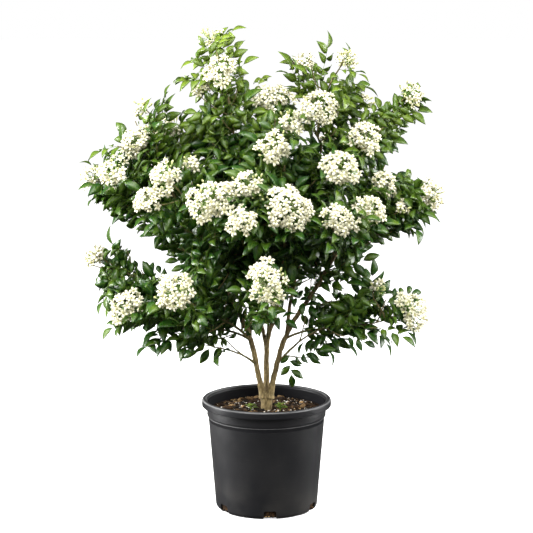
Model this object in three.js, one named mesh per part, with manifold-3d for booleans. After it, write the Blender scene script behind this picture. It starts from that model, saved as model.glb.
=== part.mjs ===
import * as THREE from "three";
import { mergeVertices } from "three/addons/utils/BufferGeometryUtils.js";
import Module from "manifold-3d";

// A flowering orange jasmine shrub growing in a round nursery pot.
// Sizes are millimetres, +Z is up, and the origin is the centre of the pot's underside.

// Pot
const POT_HEIGHT = 238;
const RIM_RADIUS = 138;
const LIP_DROP = 15;
const LIP_RADIUS = 5;
const LIP_WIDTH = 9;
const WALL = 2.2;
const COLLAR_RADIUS = 127;
const COLLAR_DEPTH = 22;
const COLLAR_STEP = 2.5;
const BASE_RADIUS = 109;
const BASE_CORNER = 10;
const POT_SIDES = 40;
const NOTCH_COUNT = 6;
const NOTCH_TURN = 4;
const NOTCH_WIDTH = 27;
const NOTCH_HEIGHT = 17;
const NOTCH_DEPTH = 26;

// Soil, and the crown that stands in it
const SOIL_LEVEL = 214;
const SOIL_CROWNING = 3;
const CROWN_FOOT = 185;
const CROWN_TOP = 250;
const CROWN_SIDES = 10;
const CROWN_RADIUS = 12;
const CROWN_FLARE = 15;

// Stems, branches and leaves
const GAP = 0.35;
const STEM_SIDES = 8;
const STEM_STEPS = 9;
const BRANCH_SIDES = 5;
const BRANCH_STEPS = 5;
const BRANCH_RADIUS = 2.6;
const BRANCH_RISE = 0.62;
const BRANCH_TO_STEM = 0.65;
const BRANCH_TAPER = 0.6;
const FORK_THINNING = 0.8;
const LOWEST_FORK = 372;
const TWIG_FORK = 0.3;
const TWIG_STRAIGHTNESS = 0.65;
const TWIG_LEAVING = 0.3;
const TWIG_ARRIVING = 0.5;
const PLACES_TRIED = 60;
const LEAF_LENGTH = 78;
const LEAF_WIDTH = 34;
const LEAF_THICKNESS = 1.6;
const LEAF_SPACING = 23;
const LEAF_START = 0.28;
const LEAF_DROOP = 0.25;
const LEAF_TURN = THREE.MathUtils.degToRad(137.5);
const HEAD_SIDES = 8;
const HEAD_SKIN = 3;
const HEAD_CROWN = 0.72;
const HEAD_TILT_REACH = 300;

// Each stem runs through these points. A fork leaves its parent's centre line at its first point.
const STEMS = {
  left: {
    radii: [6.3, 1.8],
    points: [[-6.8, -5, 236], [-8.5, -5, 262], [-26, -8, 322], [-36, -8, 378],
      [-73, -15, 453], [-121, -20, 549], [-180, -10, 640], [-225, 0, 740]],
  },
  middle: {
    radii: [6.4, 1.8],
    points: [[0, 8, 236], [0, 7, 290], [-1, 5, 352], [17, -8, 413],
      [32, -30, 500], [40, -50, 620], [40, -60, 720], [25, -40, 800]],
  },
  right: {
    radii: [6.3, 1.8],
    points: [[6.8, -5, 236], [8.5, -5, 266], [29, -5, 330], [43, -5, 386],
      [93, -20, 460], [150, -20, 560], [215, 0, 660], [248, 0, 740]],
  },
  left_inner: {
    from: "left",
    radii: [4.4, 1.6],
    points: [[-36, -8, 378], [-33, 4, 425], [-42, 0, 560], [-56, -10, 717], [-76, -10, 860]],
  },
  middle_back: {
    from: "middle",
    radii: [4.4, 1.6],
    points: [[-1, 5, 352], [-14, 20, 415], [-15, 75, 560], [0, 110, 700], [0, 110, 790]],
  },
  right_inner: {
    from: "right",
    radii: [4.4, 1.6],
    points: [[43, -5, 386], [49, 5, 433], [75, 30, 560], [100, 25, 680], [115, 15, 770]],
  },
};

// Each branch leaves its stem and forks to its flower heads, given as x, y, z and radius.
// A low branch has leaves only, so it has the height where it starts and its tip.
const BRANCHES = [
  { stem: "left", heads: [[-370, 20, 710, 27], [-315, -60, 725, 35], [-270, -40, 790, 33]] },
  { stem: "left", heads: [[-185, -200, 505, 40], [-205, -130, 725, 33]] },
  { stem: "left", heads: [[-290, -90, 455, 33], [-360, 0, 545, 26]] },
  { stem: "left", heads: [[-240, 150, 630, 32]] },
  { stem: "left_inner", heads: [[-120, 20, 1000, 25], [-92, -64, 938, 34]] },
  { stem: "left_inner", heads: [[-205, 60, 810, 27]] },
  { stem: "left_inner", heads: [[-110, -200, 690, 42]] },
  { stem: "middle", heads: [[0, -260, 535, 41]] },
  { stem: "middle", heads: [[45, -230, 675, 46], [-35, -180, 715, 36]] },
  { stem: "middle", heads: [[15, -130, 785, 35], [0, -10, 870, 34]] },
  { stem: "middle_back", heads: [[20, 240, 700, 35]] },
  { stem: "right", heads: [[300, -90, 450, 37]] },
  { stem: "right", heads: [[345, -20, 680, 28], [240, -60, 705, 30]] },
  { stem: "right", heads: [[210, -160, 665, 31], [145, -220, 650, 31]] },
  { stem: "right_inner", heads: [[110, -60, 860, 41], [165, 0, 955, 26]] },
  { stem: "right_inner", heads: [[205, -60, 800, 33], [150, -150, 750, 37], [300, 0, 885, 28]] },
  { stem: "right_inner", heads: [[150, 190, 770, 32], [260, 160, 640, 32]] },
  { stem: "left", height: 314, tip: [-135, -60, 372] },
  { stem: "right", height: 300, tip: [205, -60, 400] },
];

// Green sprouts that came up beside the crown: foot and lean.
const SEEDLINGS = {
  left: { foot: [-25, -16], lean: [-1, -0.4] },
  right: { foot: [21, -20], lean: [1, -0.3] },
};
const SEEDLING_HEIGHT = 9;
const SEEDLING_LEAF = 17;

const wasm = await Module();
wasm.setup();

const vector = (point) => new THREE.Vector3(...point);

const LOOKS = {
  plastic: { color: 0x2a2b2c, roughness: 0.45, metalness: 0 },
  soil: { color: 0x3d2b1e, roughness: 0.95, metalness: 0 },
  bark: { color: 0x7c6e4e, roughness: 0.85, metalness: 0 },
  leaf: { color: 0x2f6a24, roughness: 0.4, metalness: 0 },
  sprout: { color: 0x5f9a3a, roughness: 0.5, metalness: 0 },
  petal: { color: 0xf6f2dc, roughness: 0.6, metalness: 0 },
};

function solidOf(geometry) {
  const bare = geometry.clone();
  bare.deleteAttribute("normal");
  bare.deleteAttribute("uv");
  const merged = mergeVertices(bare, 1e-4);
  return new wasm.Manifold(new wasm.Mesh({
    numProp: 3,
    vertProperties: new Float32Array(merged.attributes.position.array),
    triVerts: new Uint32Array(merged.index.array),
  }));
}

function meshOf(name, solid, look) {
  const { vertProperties, triVerts, numProp } = solid.getMesh();
  const geometry = new THREE.BufferGeometry();
  geometry.setAttribute("position", new THREE.BufferAttribute(vertProperties, numProp));
  geometry.setIndex(new THREE.BufferAttribute(triVerts, 1));
  geometry.computeVertexNormals();
  const mesh = new THREE.Mesh(geometry, new THREE.MeshStandardMaterial(LOOKS[look]));
  mesh.name = name;
  return mesh;
}

// A turned solid about +Z. The profile of radius and height starts and ends on the axis.
function turned(profile, sides) {
  const geometry = new THREE.LatheGeometry(profile.map(([r, z]) => new THREE.Vector2(r, z)), sides);
  geometry.rotateX(Math.PI / 2);
  return geometry;
}

// A closed rod along a curve that tapers from the first radius to the second.
function rod(curve, [thick, thin], sides, steps) {
  const geometry = new THREE.CylinderGeometry(1, 1, 1, sides, steps);
  const frames = curve.computeFrenetFrames(steps);
  const places = geometry.attributes.position;
  for (let i = 0; i < places.count; i += 1) {
    const along = places.getY(i) + 0.5;
    const ring = Math.round(along * steps);
    const radius = THREE.MathUtils.lerp(thick, thin, along);
    const place = curve.getPointAt(along)
      .addScaledVector(frames.normals[ring], places.getX(i) * radius)
      .addScaledVector(frames.binormals[ring], -places.getZ(i) * radius);
    places.setXYZ(i, place.x, place.y, place.z);
  }
  return solidOf(geometry);
}

function arc(centreR, centreZ, radius, fromDegrees, toDegrees, steps) {
  const points = [];
  for (let i = 0; i <= steps; i += 1) {
    const angle = THREE.MathUtils.degToRad(THREE.MathUtils.lerp(fromDegrees, toDegrees, i / steps));
    points.push([centreR + radius * Math.cos(angle), centreZ + radius * Math.sin(angle)]);
  }
  return points;
}

// Radius of the pot's outside between the base corner and the collar.
function bodyRadius(z) {
  const top = POT_HEIGHT - LIP_DROP - COLLAR_DEPTH;
  const share = (z - BASE_CORNER) / (top - BASE_CORNER);
  return THREE.MathUtils.lerp(BASE_RADIUS, COLLAR_RADIUS - COLLAR_STEP, share);
}

function potSolid() {
  const collarFoot = POT_HEIGHT - LIP_DROP - COLLAR_DEPTH;
  const skirtInside = RIM_RADIUS - WALL;
  const outside = [
    [0, 0],
    ...arc(BASE_RADIUS - BASE_CORNER, BASE_CORNER, BASE_CORNER, -90, 0, 3),
    [bodyRadius(collarFoot), collarFoot],
    [COLLAR_RADIUS - 0.5, collarFoot + 2],
    [COLLAR_RADIUS, POT_HEIGHT - LIP_RADIUS],
    [skirtInside, POT_HEIGHT - LIP_RADIUS - WALL],
    [skirtInside, POT_HEIGHT - LIP_DROP],
    [RIM_RADIUS, POT_HEIGHT - LIP_DROP],
    ...arc(RIM_RADIUS - LIP_RADIUS, POT_HEIGHT - LIP_RADIUS, LIP_RADIUS, 0, 90, 3),
  ];
  const inside = [
    [RIM_RADIUS - LIP_WIDTH, POT_HEIGHT],
    [COLLAR_RADIUS - WALL, POT_HEIGHT - LIP_RADIUS],
    [COLLAR_RADIUS - WALL, collarFoot + 2],
    [bodyRadius(collarFoot) - WALL, collarFoot - 1],
    ...arc(BASE_RADIUS - BASE_CORNER, BASE_CORNER, BASE_CORNER - WALL, 0, -90, 3),
    [0, WALL],
  ];
  const shell = solidOf(turned([...outside, ...inside], POT_SIDES));
  return shell.subtract(notchCutters());
}

// Drainage notches cut through the corner of the base, evenly round the pot.
function notchCutters() {
  let cutters = null;
  for (let i = 0; i < NOTCH_COUNT; i += 1) {
    const box = new THREE.BoxGeometry(NOTCH_WIDTH, NOTCH_DEPTH, 2 * NOTCH_HEIGHT);
    box.translate(0, -BASE_RADIUS, 0);
    box.rotateZ(THREE.MathUtils.degToRad(NOTCH_TURN) + (i * 2 * Math.PI) / NOTCH_COUNT);
    const cutter = solidOf(box);
    cutters = cutters ? cutters.add(cutter) : cutter;
  }
  return cutters;
}

function crownSolid(spare) {
  const profile = [
    [0, CROWN_FOOT],
    [CROWN_FLARE * 0.6 + spare, CROWN_FOOT],
    [CROWN_FLARE + spare, SOIL_LEVEL - 8],
    [CROWN_FLARE + spare, SOIL_LEVEL + 3],
    [CROWN_RADIUS + spare, SOIL_LEVEL + 18],
    [CROWN_RADIUS + spare, CROWN_TOP - 4],
    [CROWN_RADIUS * 0.6 + spare, CROWN_TOP],
    [0, CROWN_TOP],
  ];
  return solidOf(turned(profile, CROWN_SIDES));
}

// The root ball and potting mix fill the pot up to the soil level, gently crowned.
function soilSolid() {
  const fill = WALL + GAP;
  const floor = BASE_CORNER;
  const collarFoot = POT_HEIGHT - LIP_DROP - COLLAR_DEPTH;
  const topRadius = COLLAR_RADIUS - fill;
  const profile = [
    [0, fill],
    ...arc(BASE_RADIUS - BASE_CORNER, floor, BASE_CORNER - fill, -90, 0, 3),
    [bodyRadius(collarFoot) - fill, collarFoot - 1],
    [topRadius, collarFoot + 2 + GAP],
    [topRadius, SOIL_LEVEL - SOIL_CROWNING],
    [topRadius * 0.55, SOIL_LEVEL],
    [0, SOIL_LEVEL],
  ];
  return solidOf(turned(profile, POT_SIDES)).subtract(crownSolid(GAP));
}

// Solids that already stand, by name, so that later pieces are kept clear of them.
const standing = new Map();
const group = new THREE.Group();

function occupy(name, solid) {
  standing.set(name, { solid, box: solid.boundingBox() });
}

function stand(name, solid, look) {
  occupy(name, solid);
  group.add(meshOf(name, solid, look));
}

function boxesMeet(a, b) {
  return [0, 1, 2].every((axis) => a.min[axis] < b.max[axis] && b.min[axis] < a.max[axis]);
}

function isClear(solid, owner) {
  const box = solid.boundingBox();
  return [...standing].every(([name, other]) => name === owner
    || !boxesMeet(box, other.box)
    || solid.intersect(other.solid).volume() === 0);
}

function stemCurve(key) {
  return new THREE.CatmullRomCurve3(STEMS[key].points.map(vector), false, "centripetal");
}

function stemSolid(key, spare) {
  const [thick, thin] = STEMS[key].radii;
  return rod(stemCurve(key), [thick + spare, thin + spare], STEM_SIDES, STEM_STEPS);
}

// The highest place on a stem from which the line to a target still climbs at the branch rise.
function forkPlace(curve, target) {
  for (let i = PLACES_TRIED; i > 0; i -= 1) {
    const share = i / PLACES_TRIED;
    const place = curve.getPointAt(share);
    const reach = Math.hypot(target.x - place.x, target.y - place.y);
    const climbs = target.z - place.z >= BRANCH_RISE * reach;
    if (climbs || place.z < LOWEST_FORK) {
      return { place, along: curve.getTangentAt(share), share };
    }
  }
  throw new Error("no fork on this stem");
}

function placeAtHeight(curve, height) {
  let share = 0;
  while (curve.getPointAt(share).z < height) share += 1 / PLACES_TRIED;
  return { place: curve.getPointAt(share), along: curve.getTangentAt(share), share };
}

// Flower heads look up and outwards from the shrub's axis.
function headAxis(centre) {
  const outward = new THREE.Vector3(centre.x, centre.y, 0).divideScalar(HEAD_TILT_REACH);
  return outward.add(new THREE.Vector3(0, 0, 1)).normalize();
}

// A twig leaves along its parent and arrives along the given axis.
function twigCurve(start, along, end, arrival) {
  const span = start.distanceTo(end);
  const straight = end.clone().sub(start).normalize();
  const leaving = along.clone().lerp(straight, TWIG_STRAIGHTNESS).normalize();
  return new THREE.CubicBezierCurve3(
    start,
    start.clone().addScaledVector(leaving, span * TWIG_LEAVING),
    end.clone().addScaledVector(arrival, -span * TWIG_ARRIVING),
    end,
  );
}

// A thin pointed plate with the outline of one compound leaf.
function leafSolid(base, direction, facing, length, spare) {
  const width = (LEAF_WIDTH * length) / LEAF_LENGTH;
  const geometry = new THREE.SphereGeometry(0.5, 6, 2);
  geometry.scale(length + spare, LEAF_THICKNESS + spare, width + spare);
  geometry.translate((length + spare) / 2, 0, 0);
  const side = direction.clone().cross(facing).normalize();
  const normal = side.clone().cross(direction).normalize();
  const pose = new THREE.Matrix4().makeBasis(direction, normal, side).setPosition(base);
  return solidOf(geometry.applyMatrix4(pose));
}

// A place on the straight runs between a rod's rings.
function placeOnRod(curve, along) {
  const ring = Math.min(Math.floor(along * BRANCH_STEPS), BRANCH_STEPS - 1);
  const low = curve.getPointAt(ring / BRANCH_STEPS);
  const high = curve.getPointAt((ring + 1) / BRANCH_STEPS);
  return low.lerp(high, along * BRANCH_STEPS - ring);
}

// Leaves spiral round a twig, lean outwards and droop a little. One that would hit a
// neighbour is left out.
function addLeaves(owner, wood, curve, offset) {
  const count = Math.floor((curve.getLength() * (1 - LEAF_START)) / LEAF_SPACING);
  const up = new THREE.Vector3(0, 0, 1);
  let leafy = wood;
  for (let i = 0; i < count; i += 1) {
    const t = LEAF_START + ((1 - LEAF_START) * (i + 0.5)) / count;
    const tangent = curve.getTangentAt(t);
    const side = tangent.clone().cross(up).normalize();
    side.applyAxisAngle(tangent, (i + offset) * LEAF_TURN);
    const direction = side.addScaledVector(tangent, 0.5);
    direction.z -= LEAF_DROOP;
    direction.normalize();
    const base = placeOnRod(curve, t);
    const clearance = leafSolid(base, direction, up, LEAF_LENGTH, 2 * GAP);
    if (isClear(clearance, owner)) {
      leafy = leafy.add(leafSolid(base, direction, up, LEAF_LENGTH, 0));
    }
  }
  return leafy;
}

// The domed umbrella of open flowers at a twig's tip, hollow underneath.
function headSolid(centre, radius) {
  const profile = [
    [0, radius * HEAD_CROWN - HEAD_SKIN],
    [radius * 0.55, radius * 0.5 - HEAD_SKIN],
    [radius - HEAD_SKIN, -radius * 0.15],
    [radius * 0.8, -radius * 0.5],
    [radius, -radius * 0.25],
    [radius * 0.95, radius * 0.3],
    [radius * 0.55, radius * 0.68],
    [0, radius * 0.8],
  ];
  const geometry = turned(profile, HEAD_SIDES);
  const turn = new THREE.Quaternion()
    .setFromUnitVectors(new THREE.Vector3(0, 0, 1), headAxis(centre));
  geometry.applyQuaternion(turn);
  geometry.translate(centre.x, centre.y, centre.z);
  return solidOf(geometry);
}

// Where a twig ends: just short of the inside of its flower head's dome.
function headSeat(centre, radius) {
  return centre.clone().addScaledVector(headAxis(centre), radius * HEAD_CROWN - HEAD_SKIN - 1);
}

// A low branch ends nearly level.
function branchTips(branch) {
  if (branch.tip) {
    const arrival = new THREE.Vector3(Math.sign(branch.tip[0]), 0, 0.2).normalize();
    return [{ end: vector(branch.tip), arrival }];
  }
  return branch.heads.map(([x, y, z, radius]) => {
    const centre = new THREE.Vector3(x, y, z);
    return { end: headSeat(centre, radius), arrival: headAxis(centre) };
  });
}

function branchCurves(branch) {
  const stem = stemCurve(branch.stem);
  const tips = branchTips(branch);
  const fork = branch.tip ? placeAtHeight(stem, branch.height) : forkPlace(stem, tips[0].end);
  const main = twigCurve(fork.place, fork.along, tips[0].end, tips[0].arrival);
  const forks = tips.slice(1).map(({ end, arrival }) => twigCurve(
    main.getPointAt(TWIG_FORK), main.getTangentAt(TWIG_FORK), end, arrival));
  const [thick, thin] = STEMS[branch.stem].radii;
  const radius = Math.min(BRANCH_RADIUS, BRANCH_TO_STEM * THREE.MathUtils.lerp(thick, thin, fork.share));
  return { curves: [main, ...forks], radius };
}

function branchWood({ curves: [main, ...forks], radius }) {
  const thin = radius * BRANCH_TAPER;
  const thick = radius * FORK_THINNING;
  return forks.reduce(
    (wood, curve) => wood.add(rod(curve, [thick, thin], BRANCH_SIDES, BRANCH_STEPS)),
    rod(main, [radius, thin], BRANCH_SIDES, BRANCH_STEPS),
  );
}

function seedlingSolid({ foot: [x, y], lean: [leanX, leanY] }) {
  const foot = new THREE.Vector3(x, y, SOIL_LEVEL + GAP);
  const top = foot.clone().add(new THREE.Vector3(leanX * 2, leanY * 2, SEEDLING_HEIGHT));
  const stalk = rod(new THREE.LineCurve3(foot, top), [1, 0.8], BRANCH_SIDES, 1);
  const up = new THREE.Vector3(0, 0, 1);
  const low = top.clone().setZ(top.z - 1);
  return [-0.6, 0.6].reduce((sprout, swing) => {
    const direction = new THREE.Vector3(leanX, leanY, 0.35).applyAxisAngle(up, swing).normalize();
    return sprout.add(leafSolid(low, direction, up, SEEDLING_LEAF, 0));
  }, stalk);
}

const stemKeys = Object.keys(STEMS);
const trunkKeys = stemKeys.filter((key) => !STEMS[key].from);

stand("pot", potSolid(), "plastic");
stand("potting_soil", soilSolid(), "soil");
stand("root_crown", trunkKeys.reduce((crown, key) => crown.subtract(stemSolid(key, GAP)),
  crownSolid(0)), "bark");

for (const key of stemKeys) {
  const { from } = STEMS[key];
  const solid = stemSolid(key, 0);
  stand(`stem_${key}`, from ? solid.subtract(stemSolid(from, GAP)) : solid, "bark");
}

for (const [side, sprout] of Object.entries(SEEDLINGS)) {
  stand(`seedling_${side}`, seedlingSolid(sprout), "sprout");
}

// Branches are numbered along each stem in the order of the table.
const branches = BRANCHES.map((branch, index) => {
  const earlier = BRANCHES.slice(0, index).filter(({ stem }) => stem === branch.stem);
  return { ...branch, label: `${branch.stem}_${earlier.length + 1}` };
});

for (const { label, heads = [] } of branches) {
  heads.forEach(([x, y, z, radius], index) => {
    stand(`flowers_${label}_${index + 1}`, headSolid(new THREE.Vector3(x, y, z), radius), "petal");
  });
}

// The bare wood of every branch stands first, so that leaves keep clear of it.
for (const branch of branches) {
  const wood = branchWood(branchCurves(branch)).subtract(stemSolid(branch.stem, GAP));
  occupy(`branch_${branch.label}`, wood);
}

for (const branch of branches) {
  const name = `branch_${branch.label}`;
  const { solid: wood } = standing.get(name);
  const { curves } = branchCurves(branch);
  const leafy = curves.reduce((solid, curve, i) => addLeaves(name, solid, curve, i * 3), wood);
  stand(name, leafy, "leaf");
}

export default group;
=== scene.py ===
"""A potted orange jasmine in bloom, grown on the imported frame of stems, branches and flower heads."""

import math
import random
from typing import NamedTuple

import bmesh
import bpy
import numpy as np
from bpy.props import FloatProperty, FloatVectorProperty, IntProperty, PointerProperty
from mathutils import Matrix, Vector


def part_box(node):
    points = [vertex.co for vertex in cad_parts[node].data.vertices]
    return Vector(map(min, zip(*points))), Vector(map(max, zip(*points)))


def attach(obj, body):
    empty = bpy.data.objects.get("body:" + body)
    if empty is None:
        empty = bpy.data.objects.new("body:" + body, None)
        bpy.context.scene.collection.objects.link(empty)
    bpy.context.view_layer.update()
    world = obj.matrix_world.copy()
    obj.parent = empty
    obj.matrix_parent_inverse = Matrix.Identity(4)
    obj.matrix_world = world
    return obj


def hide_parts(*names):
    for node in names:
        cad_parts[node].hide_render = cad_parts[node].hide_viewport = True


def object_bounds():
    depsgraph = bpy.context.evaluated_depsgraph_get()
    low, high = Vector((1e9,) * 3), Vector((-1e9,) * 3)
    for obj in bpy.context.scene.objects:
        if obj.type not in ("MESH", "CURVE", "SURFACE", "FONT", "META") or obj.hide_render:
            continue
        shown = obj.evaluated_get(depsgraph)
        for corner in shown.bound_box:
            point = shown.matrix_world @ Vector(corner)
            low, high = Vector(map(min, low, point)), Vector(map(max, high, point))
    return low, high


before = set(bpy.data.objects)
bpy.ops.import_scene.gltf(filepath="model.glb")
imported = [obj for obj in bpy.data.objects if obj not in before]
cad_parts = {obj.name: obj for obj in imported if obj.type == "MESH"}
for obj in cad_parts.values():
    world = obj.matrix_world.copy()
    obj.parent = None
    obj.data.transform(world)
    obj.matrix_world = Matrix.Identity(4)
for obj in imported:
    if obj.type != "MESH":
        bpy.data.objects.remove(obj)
CAD_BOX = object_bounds()

bl_info = {
    "name": "Potted Orange Jasmine",
    "version": (1, 0, 0),
    "blender": (4, 5, 0),
    "location": "View3D > Sidebar > Jasmine",
    "description": "Grows a flowering orange jasmine in a nursery pot round the loaded frame",
    "category": "Object",
}

UP = Vector((0, 0, 1))
GOLDEN_TURN = math.radians(137.5)

# A random turn, in radians, goes up to this.
FULL_SPIN = 6.28
# Distance from the shrub's axis at which growth leans outwards by 45 degrees.
CROWN_REACH = 0.3
# Places tried along a stem when a height or a fork is looked for.
STEM_STEPS = 60

# Kinds of surface inside one piece, kept in the "kind" attribute.
BLADE, STALK, POLLEN = 0.0, 1.0, 2.0


# ---------------------------------------------------------------- settings


def colour(name, description, default):
    return FloatVectorProperty(
        name=name, description=description, default=default, subtype="COLOR", min=0, max=1)


def number(name, description, default, least=0.0, **others):
    return FloatProperty(name=name, description=description, default=default, min=least, **others)


def length(name, description, default):
    return number(name, description, default, unit="LENGTH", precision=4)


def whole(name, description, default, least=0):
    return IntProperty(name=name, description=description, default=default, min=least)


class JASMINE_PG_leaves(bpy.types.PropertyGroup):
    leaflet_length: length("Leaflet length", "Length of a full-grown leaflet", 0.041)
    leaflet_width: length("Leaflet width", "Width of a full-grown leaflet", 0.0190)
    leaflet_spacing: length("Leaflet spacing", "Distance between leaflets on the leaf stalk", 0.0115)
    leaf_spacing: length("Leaf spacing", "Distance between leaves on a twig", 0.0150)
    shoot_spacing: length("Shoot spacing", "Distance between side shoots on a branch", 0.0165)
    shoot_length: length("Shoot length", "Length of a side shoot", 0.070)
    branch_reach: length("Branch reach", "How far leaves spread from a framed branch", 0.076)
    low_reach: length("Low reach", "How far leaves spread from a low branch", 0.080)
    stem_reach: length("Stem reach", "How far leaves spread from a framed stem", 0.105)
    seed: whole("Seed", "Seed of the leaves' spread", 11)
    deep: colour("Deep green", "Upper side of an old leaflet", (0.013, 0.060, 0.006))
    # This green is also the lighter green of the shrub's top, which is partly painted light.
    young: colour("Young green", "Upper side of a young leaflet", (0.200, 0.285, 0.022))
    under: colour("Underside", "Underside of a leaflet", (0.090, 0.170, 0.022))


class JASMINE_PG_flowers(bpy.types.PropertyGroup):
    width: length("Flower width", "Width of an open flower across its petals", 0.0205)
    cover: number("Cover", "Share of a dome that flowers cover", 1.12, 0.1, max=2.5, subtype="FACTOR")
    buds: number("Buds", "Share of a head's flowers still in bud", 0.10, max=1)
    seed: whole("Seed", "Seed of the flowers' spread", 5)
    petal: colour("Petal", "Waxy white of an open petal", (0.80, 0.77, 0.61))
    throat: colour("Throat", "Tinge at a petal's foot and on a bud", (0.62, 0.64, 0.28))
    stalk: colour("Stalk", "Flower stalks and cups", (0.20, 0.33, 0.07))
    pollen: colour("Pollen", "Tips of the stamens", (0.80, 0.70, 0.34))


class JASMINE_PG_wood(bpy.types.PropertyGroup):
    branch_radius: length("Branch radius", "Radius of a branch where it leaves its stem", 0.0030)
    twig_radius: length("Twig radius", "Radius of a twig at its tip", 0.0011)
    wobble: length("Wobble", "How far a stem wanders from its smooth line", 0.0018)
    low_fork: length("Low fork", "Height where the lowest twigs leave their stems", 0.305)
    bark: colour("Bark", "Ridges of the bark", (0.35, 0.26, 0.105))
    crease: colour("Crease", "Creases of the bark", (0.095, 0.066, 0.024))
    shoot: colour("Green shoot", "Bark of the young twigs", (0.13, 0.17, 0.045))


class JASMINE_PG_pot(bpy.types.PropertyGroup):
    plastic: colour("Plastic", "Black moulded plastic", (0.008, 0.008, 0.009))
    dust: colour("Dust", "Dried soil and scuffs on the plastic", (0.062, 0.056, 0.048))
    # Painted highlight with some rubbed wear: pale lines along the collar's ridge and the lip's top edge,
    # standing in for the light these edges catch.
    edge_highlight_and_wear: colour("Rubbed edge", "Plastic rubbed pale along its edges", (0.14, 0.14, 0.14))
    sides: whole("Sides", "Facets round the pot", 144, 24)
    wall: length("Wall", "Thickness of the plastic", 0.0022)
    lip: length("Lip", "Height of the rolled lip", 0.015)
    collar: length("Collar", "Height of the collar band under the lip", 0.022)
    corner: length("Corner", "Radius of the base's corner", 0.010)
    notches: whole("Notches", "Drainage notches in the base", 6)
    notch_width: length("Notch width", "Width of a drainage notch", 0.030)
    notch_height: length("Notch height", "Height of a drainage notch", 0.019)


class JASMINE_PG_soil(bpy.types.PropertyGroup):
    lumps: length("Lumps", "Height of the lumps in the soil's surface", 0.0035)
    chips: whole("Bark chips", "Bark chips on the soil", 1300)
    grains: whole("White grains", "Perlite grains on the soil", 260)
    seed: whole("Seed", "Seed of the chips' spread", 3)
    # Painted shade: the soil's hollows between its crumbs take this near-black colour; the bark chips also
    # use it as the tone of their darkest chips and fibres.
    dark: colour("Dark soil", "Moist hollows of the soil", (0.006, 0.004, 0.002))
    brown: colour("Brown soil", "Dry crumbs of the soil", (0.062, 0.031, 0.012))
    tan: colour("Tan chip", "Palest of the bark chips", (0.60, 0.38, 0.17))
    white: colour("White grain", "Perlite", (0.80, 0.78, 0.72))


class JASMINE_PG_stage(bpy.types.PropertyGroup):
    floor: colour("Floor", "Pale studio floor", (0.88, 0.88, 0.88))
    floor_glow: number("Floor glow", "Light that the lit floor gives off", 0.62)
    camera_distance: length("Camera distance", "From the pot's axis, level", 3.723)
    camera_height: length("Camera height", "Above the floor", 1.118)
    camera_tilt: number("Camera tilt", "How far the camera looks down", math.radians(9.1), subtype="ANGLE")
    lens: number("Lens", "Focal length in millimetres", 120.6, 1)
    daylight: number("Daylight", "Strength of the white surroundings", 0.55)
    key: number("Key light", "Power of the key light", 118)


SETTINGS = {
    "jasmine_leaves": JASMINE_PG_leaves,
    "jasmine_flowers": JASMINE_PG_flowers,
    "jasmine_wood": JASMINE_PG_wood,
    "jasmine_pot": JASMINE_PG_pot,
    "jasmine_soil": JASMINE_PG_soil,
    "jasmine_stage": JASMINE_PG_stage,
}


# ---------------------------------------------------------------- materials


class Shader:
    """A material whose nodes are added one after another."""

    def __init__(self, name):
        self.material = bpy.data.materials.new(name)
        self.material.use_nodes = True
        self.nodes = self.material.node_tree.nodes
        self.links = self.material.node_tree.links
        self.nodes.clear()
        self.output = self.nodes.new("ShaderNodeOutputMaterial")
        self.principled = self.nodes.new("ShaderNodeBsdfPrincipled")
        self.surface = self.principled.outputs["BSDF"]

    def node(self, kind, settings=None, **inputs):
        made = self.nodes.new(kind)
        for key, value in (settings or {}).items():
            setattr(made, key, value)
        self.feed_all(made, inputs)
        return made

    def feed(self, node, socket, value):
        if isinstance(value, bpy.types.NodeSocket):
            self.links.new(value, node.inputs[socket])
        else:
            node.inputs[socket].default_value = value

    def feed_all(self, node, inputs):
        for key, value in inputs.items():
            self.feed(node, key.replace("_", " "), value)

    def principled_set(self, **inputs):
        self.feed_all(self.principled, inputs)

    def split(self, vector):
        return self.node("ShaderNodeSeparateXYZ", Vector=vector).outputs

    def blade_uv(self):
        return self.split(self.node("ShaderNodeUVMap", {"uv_map": "blade"}).outputs["UV"])

    def place(self):
        return self.node("ShaderNodeTexCoord").outputs["Object"]

    def stretched(self, scale):
        return self.node("ShaderNodeMapping", Vector=self.place(), Scale=scale).outputs["Vector"]

    def attribute(self, name):
        return self.node("ShaderNodeAttribute", {"attribute_name": name}).outputs["Fac"]

    def noise(self, scale, detail=4.0, vector=None):
        made = self.node(
            "ShaderNodeTexNoise", Vector=vector or self.place(), Scale=scale, Detail=detail)
        return made.outputs["Fac"]

    def math(self, operation, first, second=0.0):
        made = self.node("ShaderNodeMath", {"operation": operation})
        self.feed(made, 0, first)
        self.feed(made, 1, second)
        return made.outputs[0]

    def spread(self, value, low, high, to_low=0.0, to_high=1.0):
        made = self.node("ShaderNodeMapRange", Value=value, From_Min=low, From_Max=high,
                         To_Min=to_low, To_Max=to_high)
        return made.outputs["Result"]

    def mix(self, share, first, second):
        made = self.node("ShaderNodeMix", {"data_type": "RGBA"})
        self.feed(made, 0, share)
        for socket, value in ((6, first), (7, second)):
            linked = isinstance(value, bpy.types.NodeSocket)
            self.feed(made, socket, value if linked else (*value, 1.0))
        return made.outputs[2]

    def bump(self, height, strength, distance):
        made = self.node("ShaderNodeBump", Height=height, Strength=strength, Distance=distance)
        self.links.new(made.outputs["Normal"], self.principled.inputs["Normal"])

    def let_light_through(self, share, tint):
        glow = self.node("ShaderNodeBsdfTranslucent", Color=tint)
        both = self.nodes.new("ShaderNodeMixShader")
        both.inputs[0].default_value = share
        self.links.new(self.surface, both.inputs[1])
        self.links.new(glow.outputs[0], both.inputs[2])
        self.surface = both.outputs[0]

    def done(self):
        self.links.new(self.surface, self.output.inputs["Surface"])
        return self.material


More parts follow.
